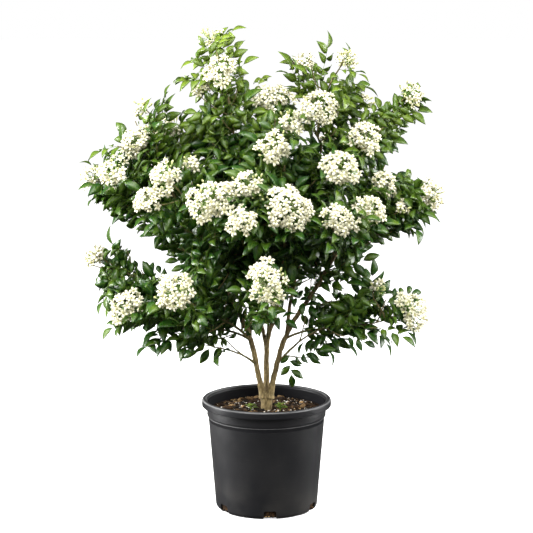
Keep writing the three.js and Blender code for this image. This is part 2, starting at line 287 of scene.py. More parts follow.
def leaf_material(settings):
    shader = Shader("glossy leaf")
    tint = shader.attribute("tint")
    patch = shader.noise(38.0, 3.0)
    # The tint attribute holds each leaf's age together with painted light: leaves are lighter towards the
    # shrub's top and outside.
    age_and_painted_light = shader.math("ADD", tint, shader.spread(patch, 0.35, 0.65, -0.16, 0.16))
    upper = shader.mix(age_and_painted_light, settings.deep, settings.young)
    blade = shader.mix(shader.attribute("under"), upper, settings.under)
    uv = shader.blade_uv()
    from_rib = shader.math("ABSOLUTE", shader.math("SUBTRACT", uv["Y"], 0.5))
    rib = shader.spread(from_rib, 0.035, 0.0)
    slant = shader.math("SUBTRACT", uv["X"], shader.math("MULTIPLY", from_rib, 0.55))
    veins = shader.math("SINE", shader.math("MULTIPLY", slant, 55.0))
    veined = shader.mix(shader.spread(veins, 0.75, 1.0, 0.0, 0.22), blade, settings.young)
    ribbed = shader.mix(shader.math("MULTIPLY", rib, 0.55), veined, settings.young)
    stalk = shader.mix(0.5, settings.young, settings.under)
    shader.principled_set(
        Base_Color=shader.mix(shader.attribute("kind"), ribbed, stalk),
        Roughness=shader.spread(shader.noise(120.0, 2.0), 0.3, 0.7, 0.22, 0.36),
        Specular_IOR_Level=0.52)
    relief = shader.math("SUBTRACT", shader.spread(veins, -1.0, 1.0), rib)
    shader.bump(relief, 0.35, 0.0004)
    shader.let_light_through(0.22, shader.mix(age_and_painted_light, (0.05, 0.15, 0.008), (0.32, 0.44, 0.03)))
    return shader.done()


def flower_material(settings):
    shader = Shader("waxy petal")
    along = shader.blade_uv()["X"]
    kind = shader.attribute("kind")
    tint = shader.attribute("tint")
    opened = shader.mix(shader.spread(along, -0.05, 0.25), settings.throat, settings.petal)
    petal = shader.mix(tint, opened, settings.throat)
    streaked = shader.mix(shader.spread(shader.noise(260.0, 2.0), 0.55, 0.8, 0.0, 0.25),
                          petal, settings.throat)
    green = shader.mix(shader.spread(kind, 0.0, 1.0), streaked, settings.stalk)
    shader.principled_set(
        Base_Color=shader.mix(shader.spread(kind, 1.0, 2.0), green, settings.pollen),
        Roughness=shader.spread(shader.noise(90.0, 2.0), 0.3, 0.7, 0.42, 0.58),
        Specular_IOR_Level=0.35)
    shader.bump(shader.noise(700.0, 2.0), 0.15, 0.0002)
    shader.let_light_through(0.24, shader.mix(kind, (0.95, 0.93, 0.74), settings.stalk))
    return shader.done()


def bark_material(name, settings, green):
    shader = Shader(name)
    grain = shader.noise(1.0, 6.0, shader.stretched((420.0, 420.0, 90.0)))
    blotch = shader.noise(42.0, 3.0)
    ridge = shader.mix(shader.spread(blotch, 0.35, 0.7), settings.bark, settings.crease)
    bark = shader.mix(shader.spread(grain, 0.38, 0.62), settings.crease, ridge)
    lenticel = shader.noise(1.0, 2.0, shader.stretched((260.0, 260.0, 800.0)))
    spotted = shader.mix(shader.spread(lenticel, 0.66, 0.74, 0.0, 0.5), bark, settings.bark)
    shader.principled_set(
        Base_Color=shader.mix(green, spotted, settings.shoot),
        Roughness=shader.spread(grain, 0.3, 0.7, 0.9, 0.68))
    shader.bump(grain, 0.6, 0.0012)
    return shader.done()


def pot_material(settings, height, lip_foot, highlight_and_wear_heights, mouth):
    shader = Shader("black plastic")
    level = shader.split(shader.place())["Z"]
    low = shader.spread(level, 0.4 * height, 0.0, 0.0, 0.8)
    cloud = shader.noise(14.0, 5.0)
    dust = shader.math("MULTIPLY", shader.spread(cloud, 0.42, 0.75), shader.math("ADD", low, 0.12))
    speck = shader.spread(shader.noise(900.0, 1.0), 0.68, 0.78, 0.0, 0.5)
    scuffs = shader.noise(1.0, 3.0, shader.stretched((30.0, 30.0, 700.0)))
    scuffed = shader.math("MULTIPLY", shader.spread(scuffs, 0.66, 0.74), 0.22)
    marks = shader.math("ADD", shader.math("MULTIPLY", dust, shader.math("ADD", speck, 0.5)), scuffed)
    # Painted highlight with some rubbed wear: thin pale lines at the given heights, patchy with the cloud,
    # stand in for the light caught by the collar's ridge and the lip's top edge.
    edges = 0.0
    for edge in highlight_and_wear_heights:
        off = shader.math("ABSOLUTE", shader.math("SUBTRACT", level, edge))
        edges = shader.math("MAXIMUM", edges, shader.spread(off, 0.0015, 0.0006))
    edges = shader.math("MULTIPLY", edges, shader.spread(cloud, 0.25, 0.6, 0.35, 1.0))
    across = shader.node("ShaderNodeVectorMath", {"operation": "LENGTH"})
    shader.links.new(shader.stretched((1.0, 1.0, 0.0)), across.inputs[0])
    within = shader.spread(across.outputs["Value"], mouth, mouth - 0.001)
    within = shader.math("MULTIPLY", within, shader.spread(level, 0.8 * height, 0.81 * height))
    satin = shader.spread(cloud, 0.3, 0.7, 0.34, 0.46)
    on_lip = shader.spread(level, lip_foot - 0.001, lip_foot + 0.001)
    dull = shader.math("MAXIMUM", shader.math("MULTIPLY", on_lip, 0.45),
                       shader.math("MULTIPLY", within, 0.85))
    shader.principled_set(
        Base_Color=shader.mix(edges, shader.mix(marks, settings.plastic, settings.dust), settings.edge_highlight_and_wear),
        Roughness=shader.math("MAXIMUM", satin, dull),
        Specular_IOR_Level=shader.math("MINIMUM", shader.spread(within, 0.0, 1.0, 0.5, 0.06),
                                       shader.spread(on_lip, 0.0, 1.0, 0.5, 0.16)))
    shader.bump(shader.noise(1500.0, 2.0), 0.10, 0.0003)
    return shader.done()


def soil_material(settings):
    shader = Shader("bark mix")
    crumbs = shader.noise(260.0, 6.0)
    patches = shader.noise(60.0, 4.0)
    # Painted shade: near black in the hollows between the crumbs, where the bump sinks, and brown on the
    # crumbs.
    soil_with_hollow_shade = shader.mix(shader.spread(crumbs, 0.40, 0.68), settings.dark, settings.brown)
    shader.principled_set(
        Base_Color=shader.mix(shader.spread(patches, 0.62, 0.8, 0.0, 0.35), soil_with_hollow_shade, settings.tan),
        Roughness=shader.spread(patches, 0.3, 0.7, 0.98, 0.8),
        Specular_IOR_Level=0.15)
    shader.bump(crumbs, 1.0, 0.003)
    return shader.done()


def chip_material(settings):
    shader = Shader("bark chip")
    tint = shader.attribute("tint")
    dark = shader.mix(shader.spread(tint, 0.0, 0.55), settings.dark, settings.brown)
    chip = shader.mix(shader.spread(tint, 0.5, 1.0), dark, settings.tan)
    fibre = shader.noise(1.0, 5.0, shader.stretched((600.0, 180.0, 600.0)))
    shader.principled_set(
        Base_Color=shader.mix(shader.spread(fibre, 0.35, 0.7, 0.0, 0.6), chip, settings.dark),
        Roughness=shader.spread(fibre, 0.3, 0.7, 0.75, 0.95),
        Specular_IOR_Level=0.2)
    shader.bump(fibre, 0.6, 0.0008)
    return shader.done()


def grain_material(settings):
    shader = Shader("white grain")
    pits = shader.noise(900.0, 4.0)
    shader.principled_set(
        Base_Color=shader.mix(shader.spread(pits, 0.45, 0.75), settings.white, settings.tan),
        Roughness=shader.spread(pits, 0.3, 0.7, 0.8, 0.95))
    shader.bump(pits, 0.7, 0.0008)
    return shader.done()


# ---------------------------------------------------------------- hand modelling


def deselect_all():
    for other in bpy.context.selected_objects:
        other.select_set(False)


def activate(piece):
    deselect_all()
    piece.select_set(True)
    bpy.context.view_layer.objects.active = piece


class editing:
    """Edit mode on one piece, with nothing selected at the start."""

    def __init__(self, piece, mode="VERT"):
        self.piece = piece
        self.mode = mode

    def __enter__(self):
        activate(self.piece)
        bpy.ops.object.mode_set(mode="EDIT")
        bpy.ops.mesh.select_mode(type=self.mode)
        bpy.ops.mesh.select_all(action="DESELECT")

    def __exit__(self, *_):
        bpy.ops.object.mode_set(mode="OBJECT")


def pick(test):
    """Selects the vertices of the piece in edit mode whose place passes the test."""
    mesh = bpy.context.edit_object.data
    shape = bmesh.from_edit_mesh(mesh)
    for vertex in shape.verts:
        vertex.select = bool(test(vertex.co))
    shape.select_flush_mode()
    bmesh.update_edit_mesh(mesh)


def apply_modifier(piece, kind, **settings):
    activate(piece)
    modifier = piece.modifiers.new(kind.lower(), kind)
    for key, value in settings.items():
        setattr(modifier, key, value)
    bpy.ops.object.modifier_apply(modifier=modifier.name)


def weld(piece, threshold):
    """Joins corners that meet and turns all the faces outwards."""
    with editing(piece):
        bpy.ops.mesh.select_all(action="SELECT")
        bpy.ops.mesh.remove_doubles(threshold=threshold)
        bpy.ops.mesh.normals_make_consistent(inside=False)


def finish(piece, material, angle, threshold=1e-6):
    """Welds the piece, smooths what bends less than the angle and gives it its material."""
    weld(piece, threshold)
    activate(piece)
    bpy.ops.object.shade_smooth_by_angle(angle=math.radians(angle))
    piece.data.materials.clear()
    piece.data.materials.append(material)


def blade_piece(name, rows, half_width, lift, fold, thickness):
    """A thin closed blade one unit long from the origin along +X, shaped row by row.

    half_width and lift give each row's half width and height by its share of the length."""
    deselect_all()
    bpy.ops.mesh.primitive_grid_add(x_subdivisions=rows, y_subdivisions=2, size=1)
    piece = bpy.context.object
    piece.name = name
    with editing(piece):
        bpy.ops.mesh.select_all(action="SELECT")
        bpy.ops.transform.translate(value=(0.5, 0, 0))
        for row in range(rows + 1):
            share = row / rows
            wide = half_width(share)
            pick(lambda co, at=share: abs(co.x - at) < 0.01)
            bpy.ops.transform.resize(value=(1, wide / 0.5, 1))
            bpy.ops.transform.translate(value=(0, 0, lift(share)))
            if wide > 0.001:
                pick(lambda co, at=share: abs(co.x - at) < 0.01 and abs(co.y) > 0.001)
                bpy.ops.transform.translate(value=(0, 0, fold * wide))
    close_blade(piece, thickness)
    return piece


def close_blade(piece, thickness):
    """Gives the sheet a thickness that runs out to nothing at its edge."""
    middle = piece.vertex_groups.new(name="middle")
    edges = {v for e in boundary_edges(piece.data) for v in e}
    middle.add([v.index for v in piece.data.vertices if v.index not in edges], 1.0, "REPLACE")
    apply_modifier(piece, "SOLIDIFY", thickness=thickness, offset=-1.0, vertex_group="middle",
                   thickness_vertex_group=0.0)
    weld(piece, 1e-4)
    piece.vertex_groups.clear()


def boundary_edges(mesh):
    used = {}
    for polygon in mesh.polygons:
        for key in polygon.edge_keys:
            used[key] = used.get(key, 0) + 1
    return [key for key, count in used.items() if count == 1]


# ---------------------------------------------------------------- templates and copies


class Template(NamedTuple):
    """A modelled shape as arrays, ready to be copied many times into one piece."""

    places: np.ndarray
    corners: np.ndarray
    counts: np.ndarray
    uv: np.ndarray
    kind: np.ndarray
    under: np.ndarray

    def moved(self, matrix):
        m = np.array(matrix)
        return self._replace(places=self.places @ m[:3, :3].T + m[:3, 3])

    @classmethod
    def joined(cls, shapes):
        offsets = np.cumsum([0] + [len(s.places) for s in shapes[:-1]])
        shifted = [s._replace(corners=s.corners + o) for s, o in zip(shapes, offsets)]
        return cls(*(np.concatenate(arrays) for arrays in zip(*shifted)))


def template_of(piece, kind, two_sided=False):
    """Takes a finished shape off the scene as a template."""
    mesh = piece.data
    places = np.empty(len(mesh.vertices) * 3)
    mesh.vertices.foreach_get("co", places)
    corners = np.empty(len(mesh.loops), dtype=np.int64)
    mesh.loops.foreach_get("vertex_index", corners)
    counts = np.array([p.loop_total for p in mesh.polygons], dtype=np.int64)
    uv = np.zeros(len(mesh.loops) * 2)
    if mesh.uv_layers.active:
        mesh.uv_layers.active.data.foreach_get("uv", uv)
    under = np.array([float(two_sided and p.normal.z < 0) for p in mesh.polygons])
    bpy.data.objects.remove(piece)
    return Template(
        places.reshape(-1, 3), corners, counts, uv.reshape(-1, 2),
        np.full(len(places) // 3, kind), under)


def piece_from(name, shapes, tints, material):
    """One mesh from many placed shapes, each with its own tint."""
    if not shapes:
        raise RuntimeError(f"{name} has no shapes to join")
    whole = Template.joined(shapes)
    mesh = bpy.data.meshes.new(name)
    mesh.vertices.add(len(whole.places))
    mesh.vertices.foreach_set("co", whole.places.astype(np.float32).ravel())
    mesh.loops.add(len(whole.corners))
    mesh.loops.foreach_set("vertex_index", whole.corners.astype(np.int32))
    mesh.polygons.add(len(whole.counts))
    starts = np.concatenate([[0], np.cumsum(whole.counts)[:-1]])
    mesh.polygons.foreach_set("loop_start", starts.astype(np.int32))
    mesh.update(calc_edges=True)
    mesh.uv_layers.new(name="blade").data.foreach_set("uv", whole.uv.astype(np.float32).ravel())
    tint = np.concatenate([np.full(len(s.places), t) for s, t in zip(shapes, tints)])
    for key, values, domain in (
            ("kind", whole.kind, "POINT"), ("tint", tint, "POINT"), ("under", whole.under, "FACE")):
        layer = mesh.attributes.new(key, "FLOAT", domain)
        layer.data.foreach_set("value", values.astype(np.float32))
    mesh.shade_smooth()
    mesh.materials.append(material)
    piece = bpy.data.objects.new(name, mesh)
    bpy.context.collection.objects.link(piece)
    return piece


def clamp(value, low, high):
    return min(max(value, low), high)


def polar(out, turn, height=0.0):
    return Vector((out * math.cos(turn), out * math.sin(turn), height))


def shaken(rng, amount):
    return Vector([rng.uniform(-amount, amount) for _ in range(3)])


def square_to(direction, turn):
    """A direction at right angles to another, turned about it."""
    side = direction.orthogonal().normalized()
    side.rotate(Matrix.Rotation(turn, 3, direction))
    return side


def pose(origin, along, facing, scale=1.0):
    """A placement whose X runs along a direction and whose Z faces another as nearly as it can."""
    x = along.normalized()
    y = facing.cross(x)
    if y.length < 1e-4:
        y = x.orthogonal()
    y.normalize()
    z = x.cross(y)
    turn = Matrix((x, y, z)).transposed() * scale
    return Matrix.Translation(origin) @ turn.to_4x4()


def tube(points, radii, sides, kind):
    """A closed tapering tube through points, for stalks too small to model one by one."""
    points = [Vector(p) for p in points]
    rings = []
    side = None
    for i, point in enumerate(points):
        ahead = points[min(i + 1, len(points) - 1)] - points[max(i - 1, 0)]
        ahead.normalize()
        side = ahead.orthogonal() if side is None else side - ahead * side.dot(ahead)
        side.normalize()
        other = ahead.cross(side)
        for k in range(sides):
            angle = 2 * math.pi * k / sides
            rings.append(point + (side * math.cos(angle) + other * math.sin(angle)) * radii[i])
    faces = []
    for i in range(len(points) - 1):
        for k in range(sides):
            a, b = i * sides + k, i * sides + (k + 1) % sides
            faces.append((a, b, b + sides, a + sides))
    last = (len(points) - 1) * sides
    faces.append(tuple(reversed(range(sides))))
    faces.append(tuple(last + k for k in range(sides)))
    corners = np.array([v for face in faces for v in face], dtype=np.int64)
    return Template(
        np.array(rings), corners, np.array([len(f) for f in faces], dtype=np.int64),
        np.zeros((len(corners), 2)), np.full(len(rings), kind), np.zeros(len(faces)))


# ---------------------------------------------------------------- lines of the plant


class Path:
    """A line through points that is read by share of its length."""

    def __init__(self, points):
        self.points = np.array(points, dtype=float)
        steps = np.linalg.norm(np.diff(self.points, axis=0), axis=1)
        self.marks = np.concatenate([[0.0], np.cumsum(steps)])
        self.length = float(self.marks[-1])

    def at(self, share):
        mark = share * self.length
        return Vector([np.interp(mark, self.marks, self.points[:, k]) for k in range(3)])

    def along(self, share):
        low, high = max(share - 0.02, 0.0), min(share + 0.02, 1.0)
        return (self.at(high) - self.at(low)).normalized()


def smooth_path(points, steps=48):
    """A Catmull-Rom line through the points, resampled evenly."""
    ends = [2 * points[0] - points[1], *points, 2 * points[-1] - points[-2]]
    line = []
    for a, b, c, d in zip(ends, ends[1:], ends[2:], ends[3:]):
        for i in range(8):
            t = i / 8
            line.append(0.5 * (2 * b + (c - a) * t + (2 * a - 5 * b + 4 * c - d) * t * t
                               + (3 * b - a - 3 * c + d) * t ** 3))
    coarse = Path([*line, points[-1]])
    return Path([coarse.at(i / steps) for i in range(steps + 1)])


def stem_sections(node, count=14):
    """Centres and radii of a framed stem where level planes cut it."""
    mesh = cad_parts[node].data
    triangles = np.array([[mesh.vertices[v].co[:] for v in p.vertices] for p in mesh.polygons])
    starts = triangles.reshape(-1, 3)
    ends = np.roll(triangles, -1, axis=1).reshape(-1, 3)
    low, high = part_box(node)
    sections = []
    for height in np.linspace(low.z + 0.004, high.z - 0.002, count):
        crossing = (starts[:, 2] - height) * (ends[:, 2] - height) < 0
        a, b = starts[crossing], ends[crossing]
        cut = a + (b - a) * ((height - a[:, 2]) / (b[:, 2] - a[:, 2]))[:, None]
        extent = cut.max(axis=0) - cut.min(axis=0)
        sections.append((Vector((cut.max(axis=0) + cut.min(axis=0)) / 2), min(extent[:2]) / 2))
    return sections


def twig_path(start, along, end, arrival):
    """A twig leaves along its parent and arrives along its head's axis."""
    span = (end - start).length
    leaving = along.lerp((end - start).normalized(), 0.65).normalized()
    b = start + leaving * span * 0.3
    c = end - arrival * span * 0.5
    points = []
    for i in range(33):
        t = i / 32
        points.append(start * (1 - t) ** 3 + b * 3 * t * (1 - t) ** 2
                      + c * 3 * t * t * (1 - t) + end * t ** 3)
    return Path(points)


def outward(place):
    """The level way out of the shrub, longer farther out."""
    return Vector((place.x, place.y, 0)) / CROWN_REACH


def head_axis(centre):
    return (outward(centre) + UP).normalized()


def head_face(centre):
    """Heads look outwards and up, and a little to the front."""
    return Vector((centre.x / CROWN_REACH, (centre.y - 0.12) / CROWN_REACH, 0.7)).normalized()


# The light falls on the shrub's front, and open flowers turn their faces to it.
TO_LIGHT = Vector((0, -0.9, 0.45)).normalized()


class Head:
    """A flower head: its centre, its radius and the way it looks."""

    def __init__(self, name, centre, radius):
        self.name = name
        self.centre = centre
        self.radius = radius
        self.axis = head_face(centre)
        self.seat = centre - self.axis * radius * 0.25


def framed_head(node):
    low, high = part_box(node)
    size = high - low
    radius = max(size.x, size.y) / 2
    centre = (low + high) / 2
    return Head(node, centre - head_axis(centre) * radius * 0.1, radius)


def fork_share(path, target, rise=0.62, lowest=0.372):
    """The highest place on a stem from which the line to the target still climbs well."""
    for i in range(STEM_STEPS, 0, -1):
        place = path.at(i / STEM_STEPS)
        reach = math.hypot(target.x - place.x, target.y - place.y)
        if target.z - place.z >= rise * reach or place.z < lowest:
            return i / STEM_STEPS
    return 1 / STEM_STEPS


class Stem:
    def __init__(self, node):
        sections = stem_sections(node)
        self.node = node
        self.base_radius = sections[0][1]
        self.tip_radius = sections[-1][1]
        self.path = smooth_path([centre for centre, _ in sections])

    def share_above(self, height):
        shares = (i / STEM_STEPS for i in range(STEM_STEPS + 1))
        return next(share for share in shares if self.path.at(share).z > height)

    def leafy_part(self, lowest=0.43):
        """The upper part of the stem, which carries leaves of its own. A tall stem's reaches its tip."""
        end = 1.0 if self.path.at(1).z > 0.8 else 0.86
        foot = self.share_above(lowest)
        return Path([self.path.at(foot + (end - foot) * i / 24) for i in range(25)])

    def start_inside(self, parent):
        """Runs a fork's line back to the middle of the stem that it grows from."""
        low = self.path.at(0)
        nearest = min((parent.path.at(i / 200) for i in range(201)),
                      key=lambda place: (place - low + UP * 0.008).length)
        self.path = smooth_path([nearest, *(self.path.at(i / 12) for i in range(1, 13))])
        self.base_radius = max(self.base_radius, 0.0042)


class Branch:
    def __init__(self, label, stem, heads, low_fork):
        self.label = label
        self.stem = stem
        self.heads = heads
        self.node = f"branch_{label}"
        self.side_heads = []
        if heads:
            share = fork_share(stem.path, heads[0].seat)
            first = (heads[0].seat, heads[0].axis)
        else:
            share = stem.share_above(low_fork)
            first = self.low_tip()
        self.main = twig_path(stem.path.at(share), stem.path.along(share), *first)
        self.forks = [
            twig_path(self.main.at(0.3), self.main.along(0.3), head.seat, head.axis)
            for head in heads[1:]]

    def low_tip(self):
        low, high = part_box(self.node)
        outward = 1 if high.x > -low.x else -1
        far = high.x if outward > 0 else low.x
        tip = Vector((far * 0.78, (low.y + high.y) / 2, high.z - 0.01))
        return tip, Vector((outward, 0, 0.2)).normalized()

    def paths(self):
        return [self.main, *self.forks]


# Smaller heads that open beside a framed one: offset from it, and share of its radius.
SIDE_HEADS = {
    "flowers_left_1_3": [((0.010, 0.040, 0.070), 0.64), ((0.030, 0.060, 0.015), 0.66)],
    "flowers_left_2_2": [((-0.036, -0.012, -0.042), 0.82), ((0.046, 0.070, 0.022), 0.55)],
    "flowers_left_4_1": [((0.090, 0.060, -0.070), 0.95), ((0.060, 0.020, 0.120), 0.85)],
    "flowers_left_inner_1_2": [((-0.045, 0.090, -0.048), 0.52)],
    "flowers_left_inner_2_1": [((0.085, 0.110, -0.030), 1.10)],
    "flowers_middle_2_1": [((-0.088, -0.012, -0.024), 0.62)],
    "flowers_middle_3_1": [((0.034, 0.068, 0.044), 0.80)],
    "flowers_middle_3_2": [((-0.026, 0.070, -0.014), 0.66), ((0.030, 0.140, -0.010), 0.9)],
    "flowers_middle_back_1_1": [((-0.090, -0.010, -0.090), 0.90), ((0.080, -0.005, -0.120), 0.85)],
    "flowers_right_1_1": [((-0.066, 0.030, 0.042), 0.48)],
    "flowers_right_2_2": [((0.040, -0.020, -0.050), 0.56)],
    "flowers_right_inner_1_1": [((-0.030, 0.080, 0.090), 0.54), ((0.100, 0.100, 0.006), 0.44)],
    "flowers_right_inner_3_2": [((-0.050, 0.045, -0.060), 0.85)],
}


class Plant:
    """The lines of the whole shrub, read from the frame."""

    def __init__(self, low_fork):
        nodes = sorted(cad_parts)
        self.stems = {n[len("stem_"):]: Stem(n) for n in nodes if n.startswith("stem_")}
        for key, stem in self.stems.items():
            parent = key.rsplit("_", 1)[0]
            if parent != key and parent in self.stems:
                stem.start_inside(self.stems[parent])
        labels = [n[len("branch_"):] for n in nodes if n.startswith("branch_")]
        self.branches = []
        for label in labels:
            heads = [framed_head(n) for n in nodes if n.startswith(f"flowers_{label}_")
                     and n[len(f"flowers_{label}_"):].isdigit()]
            stem = self.stems[label.rsplit("_", 1)[0]]
            branch = Branch(label, stem, heads, low_fork)
            for head in heads:
                for offset, share in SIDE_HEADS.get(head.name, []):
                    name = f"side_{head.name}_{len(branch.side_heads) + 1}"
                    branch.side_heads.append(
                        Head(name, head.centre + Vector(offset), head.radius * share))
            self.branches.append(branch)


_plant = []


def plant():
    """The shrub's lines, read once."""
    if not _plant:
        _plant.append(Plant(bpy.context.scene.jasmine_wood.low_fork))
    return _plant[0]


def side_twig(branch, head):
    """A short twig from the nearest line of the branch to a side head."""
    best = min(((path, share / 20) for path in branch.paths() for share in range(6, 17)),
               key=lambda place: (place[0].at(place[1]) - head.centre + UP * 0.05).length)
    path, share = best
    return twig_path(path.at(share), path.along(share), head.seat, head.axis)


# ---------------------------------------------------------------- leaves

# Half width of a leaflet from its foot to its tip, as a share of its widest.
LEAFLET_OUTLINE = (0.0, 0.62, 0.96, 1.0, 0.82, 0.46, 0.0)
# How far leaves may pass the frame's box.
LEAF_ROOM = 0.006
# Low branches with a leaf that hangs down beside their foot.
HANGING = ("right_4",)
# A branch whose tip is under this height counts as low.
LOW_TIP = 0.52


def leaflet_shape(settings):
    """One leaflet, one unit long."""
    half = settings.leaflet_width / settings.leaflet_length / 2
    rows = len(LEAFLET_OUTLINE) - 1
    piece = blade_piece(
        "leaflet", rows, lambda share: half * LEAFLET_OUTLINE[round(share * rows)],
        lambda share: 0.10 * math.sin(math.pi * share) - 0.10 * share * share, 0.34, 0.012)
    return template_of(piece, BLADE, two_sided=True)


def compound_leaf(leaflet, settings, count, droop, rng):
    """A leaf of leaflets set left and right on an arching stalk, running along +X from the origin."""
    step = settings.leaflet_spacing
    bare = 0.012
    reach = bare + step * (count - 1)
    line = Path([(at, 0.0, -droop * (at / reach) ** 2 * reach) for at in np.linspace(0, reach, 6)])
    shapes = [tube(line.points, np.linspace(0.00075, 0.0004, 6), 3, STALK)]
    for k in range(count):
        share = (bare + step * k) / reach
        ahead = line.along(share)
        last = k == count - 1
        side = 0 if last else (1 if k % 2 else -1)
        turn = math.radians(rng.uniform(48, 68)) * side
        across = UP.cross(ahead).normalized()
        out = ahead * math.cos(turn) + across * math.sin(turn)
        out.z += rng.uniform(-0.30, 0.10)
        facing = UP + across * side * rng.uniform(-0.1, 0.35) - ahead * rng.uniform(-0.2, 0.2)
        size = settings.leaflet_length * (0.72 + 0.30 * k / (count - 1)) * rng.uniform(0.9, 1.1)
        shapes.append(leaflet.moved(pose(line.at(share), out, facing, size)))
    return Template.joined(shapes)


def leaf_set(settings):
    """Leaves to copy, from short upright ones to long hanging ones."""
    rng = random.Random(settings.seed)
    leaflet = leaflet_shape(settings)
    leaves = []
    for count in (5, 6, 7, 7, 8, 9):
        for droop in (0.12, 0.35):
            leaves.append(compound_leaf(leaflet, settings, count, droop, rng))
    return leaves


def inside(shape, low, high):
    return bool((shape.places.min(axis=0) >= low).all() and (shape.places.max(axis=0) <= high).all())


def farthest(places, lines):
    """The distance of the place that lies farthest from the points of some lines."""
    gaps = np.linalg.norm(places[:, None, :] - lines[None, :, :], axis=2)
    return float(gaps.min(axis=1).max())


def covers_a_head(shape, heads):
    """True where a leaf would run into a flower head or hang in front of it."""
    places = shape.places[::6]
    for head in heads:
        away = places - np.array(head.centre)
        if np.abs(away).max(axis=1).min() > head.radius * 2.8:
            continue
        for way, wide in ((head.axis, 0.78), (TO_LIGHT, 0.58)):
            ahead = away @ np.array(way)
            aside = np.linalg.norm(away - ahead[:, None] * np.array(way), axis=1)
            near = (ahead > 0.1 * head.radius) & (ahead < 1.8 * head.radius)
            if (near & (aside < head.radius * wide)).any():
                return True
    return False


class Foliage:
    """Sets leaves along twigs, inside the frame's box and clear of the flower heads."""

    def __init__(self, settings, heads):
        self.settings = settings
        self.leaves = leaf_set(settings)
        self.heads = heads
        self.low = np.array(CAD_BOX[0]) - LEAF_ROOM
        self.high = np.array(CAD_BOX[1]) + LEAF_ROOM

    def start(self, seed, paths, reach):
        """Begins a new piece whose leaves stay within reach of the framed lines."""
        self.rng = random.Random(seed)
        self.lines = np.array([path.at(k / 24) for path in paths for k in range(25)])
        self.reach = reach
        self.shapes = []
        self.tints = []

    def fits(self, shape):
        return (inside(shape, self.low, self.high)
                and farthest(shape.places[::9], self.lines) < self.reach
                and not covers_a_head(shape, self.heads))

    def leaf(self, place, along, turn, young, hang):
        """One leaf, tried at a few turns until it fits."""
        rng = self.rng
        for attempt in range(5):
            side = square_to(along, turn + attempt * 1.1)
            lift = rng.uniform(0.5, 0.9) + 0.4 * young
            way = side + along * lift + outward(place) * 0.45
            way.z -= hang
            facing = UP * (0.85 - hang * 0.7) + self.open_side(place) * 0.95 - along * 0.1
            facing += Vector((rng.uniform(-0.4, 0.4), rng.uniform(-0.4, 0.4), 0))
            size = rng.uniform(0.84, 1.2) * (1.0 - 0.35 * young) * self.vigour(place)
            shape = rng.choice(self.leaves).moved(pose(place, way, facing, size))
            if self.fits(shape):
                self.shapes.append(shape)
                self.tints.append(self.tint(place, young))
                return

    def hanging_leaf(self, place):
        """One leaf that hangs straight down with its face to the light."""
        way = Vector((0.12, -0.2, -1.0))
        self.shapes.append(self.leaves[0].moved(pose(place, way, TO_LIGHT, 0.85)))
        self.tints.append(0.1)

    @staticmethod
    def open_side(place):
        """The level direction out of the shrub, a little towards its light front."""
        return Vector((place.x, place.y - 0.08, 0.0)).normalized()

    @staticmethod
    def vigour(place):
        """Leaves are smaller in the shrub's top."""
        return 1.0 - 0.7 * max(place.z / CAD_BOX[1].z - 0.7, 0)

    def tint(self, place, young):
        height = place.z / CAD_BOX[1].z
        reach = math.hypot(place.x, place.y) / 0.35
        # Lighter green at young twig tips is real young growth; lighter green towards the shrub's top and
        # outside is partly younger growth and partly painted light, where the light falls most.
        age_and_painted_light = 2.2 * max(height - 0.70, 0) + 0.10 * reach + 0.50 * young * height
        return clamp(age_and_painted_light + self.rng.uniform(-0.10, 0.13), 0.0, 1.0)

    def twig(self, path, start, hang, spacing=None):
        """Leaves spiralling up a twig and getting younger towards its tip."""
        rng = self.rng
        spacing = spacing or self.settings.leaf_spacing
        count = max(int(path.length * (1 - start) / spacing), 1)
        turn = rng.uniform(0, 2 * math.pi)
        for k in range(count + 1):
            share = start + (1 - start) * k / count
            young = max(share - 0.75, 0) * 2.2 * rng.uniform(0.3, 1.0)
            self.leaf(path.at(share), path.along(share), turn, young, hang)
            turn += GOLDEN_TURN

    def shoot_path(self, path, share, turn, size, hang):
        """The line of a side shoot that leaves a branch and curves up to the light."""
        place, along = path.at(share), path.along(share)
        lean = outward(place) * 0.3
        leaving = (square_to(along, turn) + along * 0.6 + lean).normalized()
        arrival = (leaving + UP * (0.9 - hang) + lean).normalized()
        end = place + (leaving + arrival).normalized() * size
        return twig_path(place, along, end, arrival)

    def clear(self, path):
        tip = np.array([path.at(1.0)])
        return farthest(tip, self.lines) < self.reach * 0.72

    def shoots(self, path, start, hang):
        """Leafy side shoots along a branch, and their lines for the wood."""
        rng = self.rng
        settings = self.settings
        count = int(path.length * (1 - start) / settings.shoot_spacing)
        turn = rng.uniform(0, 2 * math.pi)
        lines = []
        for k in range(count):
            share = start + (1 - start) * (k + 0.5) / count
            size = settings.shoot_length * rng.uniform(0.7, 1.3)
            turn += GOLDEN_TURN
            line = self.shoot_path(path, share, turn, size, hang)
            before = len(self.shapes)
            if self.clear(line):
                self.twig(line, 0.35, hang)
            if len(self.shapes) > before:
                lines.append(line)
        return lines


# ---------------------------------------------------------------- flowers

# A head under the first radius is mostly buds. One under the others has 3 or 4 domes round its
# middle one, and a wider one has 5.
BUD_HEAD = 0.022
SMALL_HEAD = 0.025
MIDDLE_HEAD = 0.036
# Wider heads that are mostly buds all the same.
GREEN_HEADS = ("flowers_left_inner_1_1", "flowers_right_inner_1_2")


def petal_shape():
    """One petal, one unit long, rising and then curling back."""
    outline = (0.34, 0.95, 1.0, 0.0)
    piece = blade_piece(
        "petal", 3, lambda share: 0.29 * outline[round(share * 3)],
        lambda share: 0.30 * share - 0.34 * share * share, 0.25, 0.04)
    return template_of(piece, BLADE)


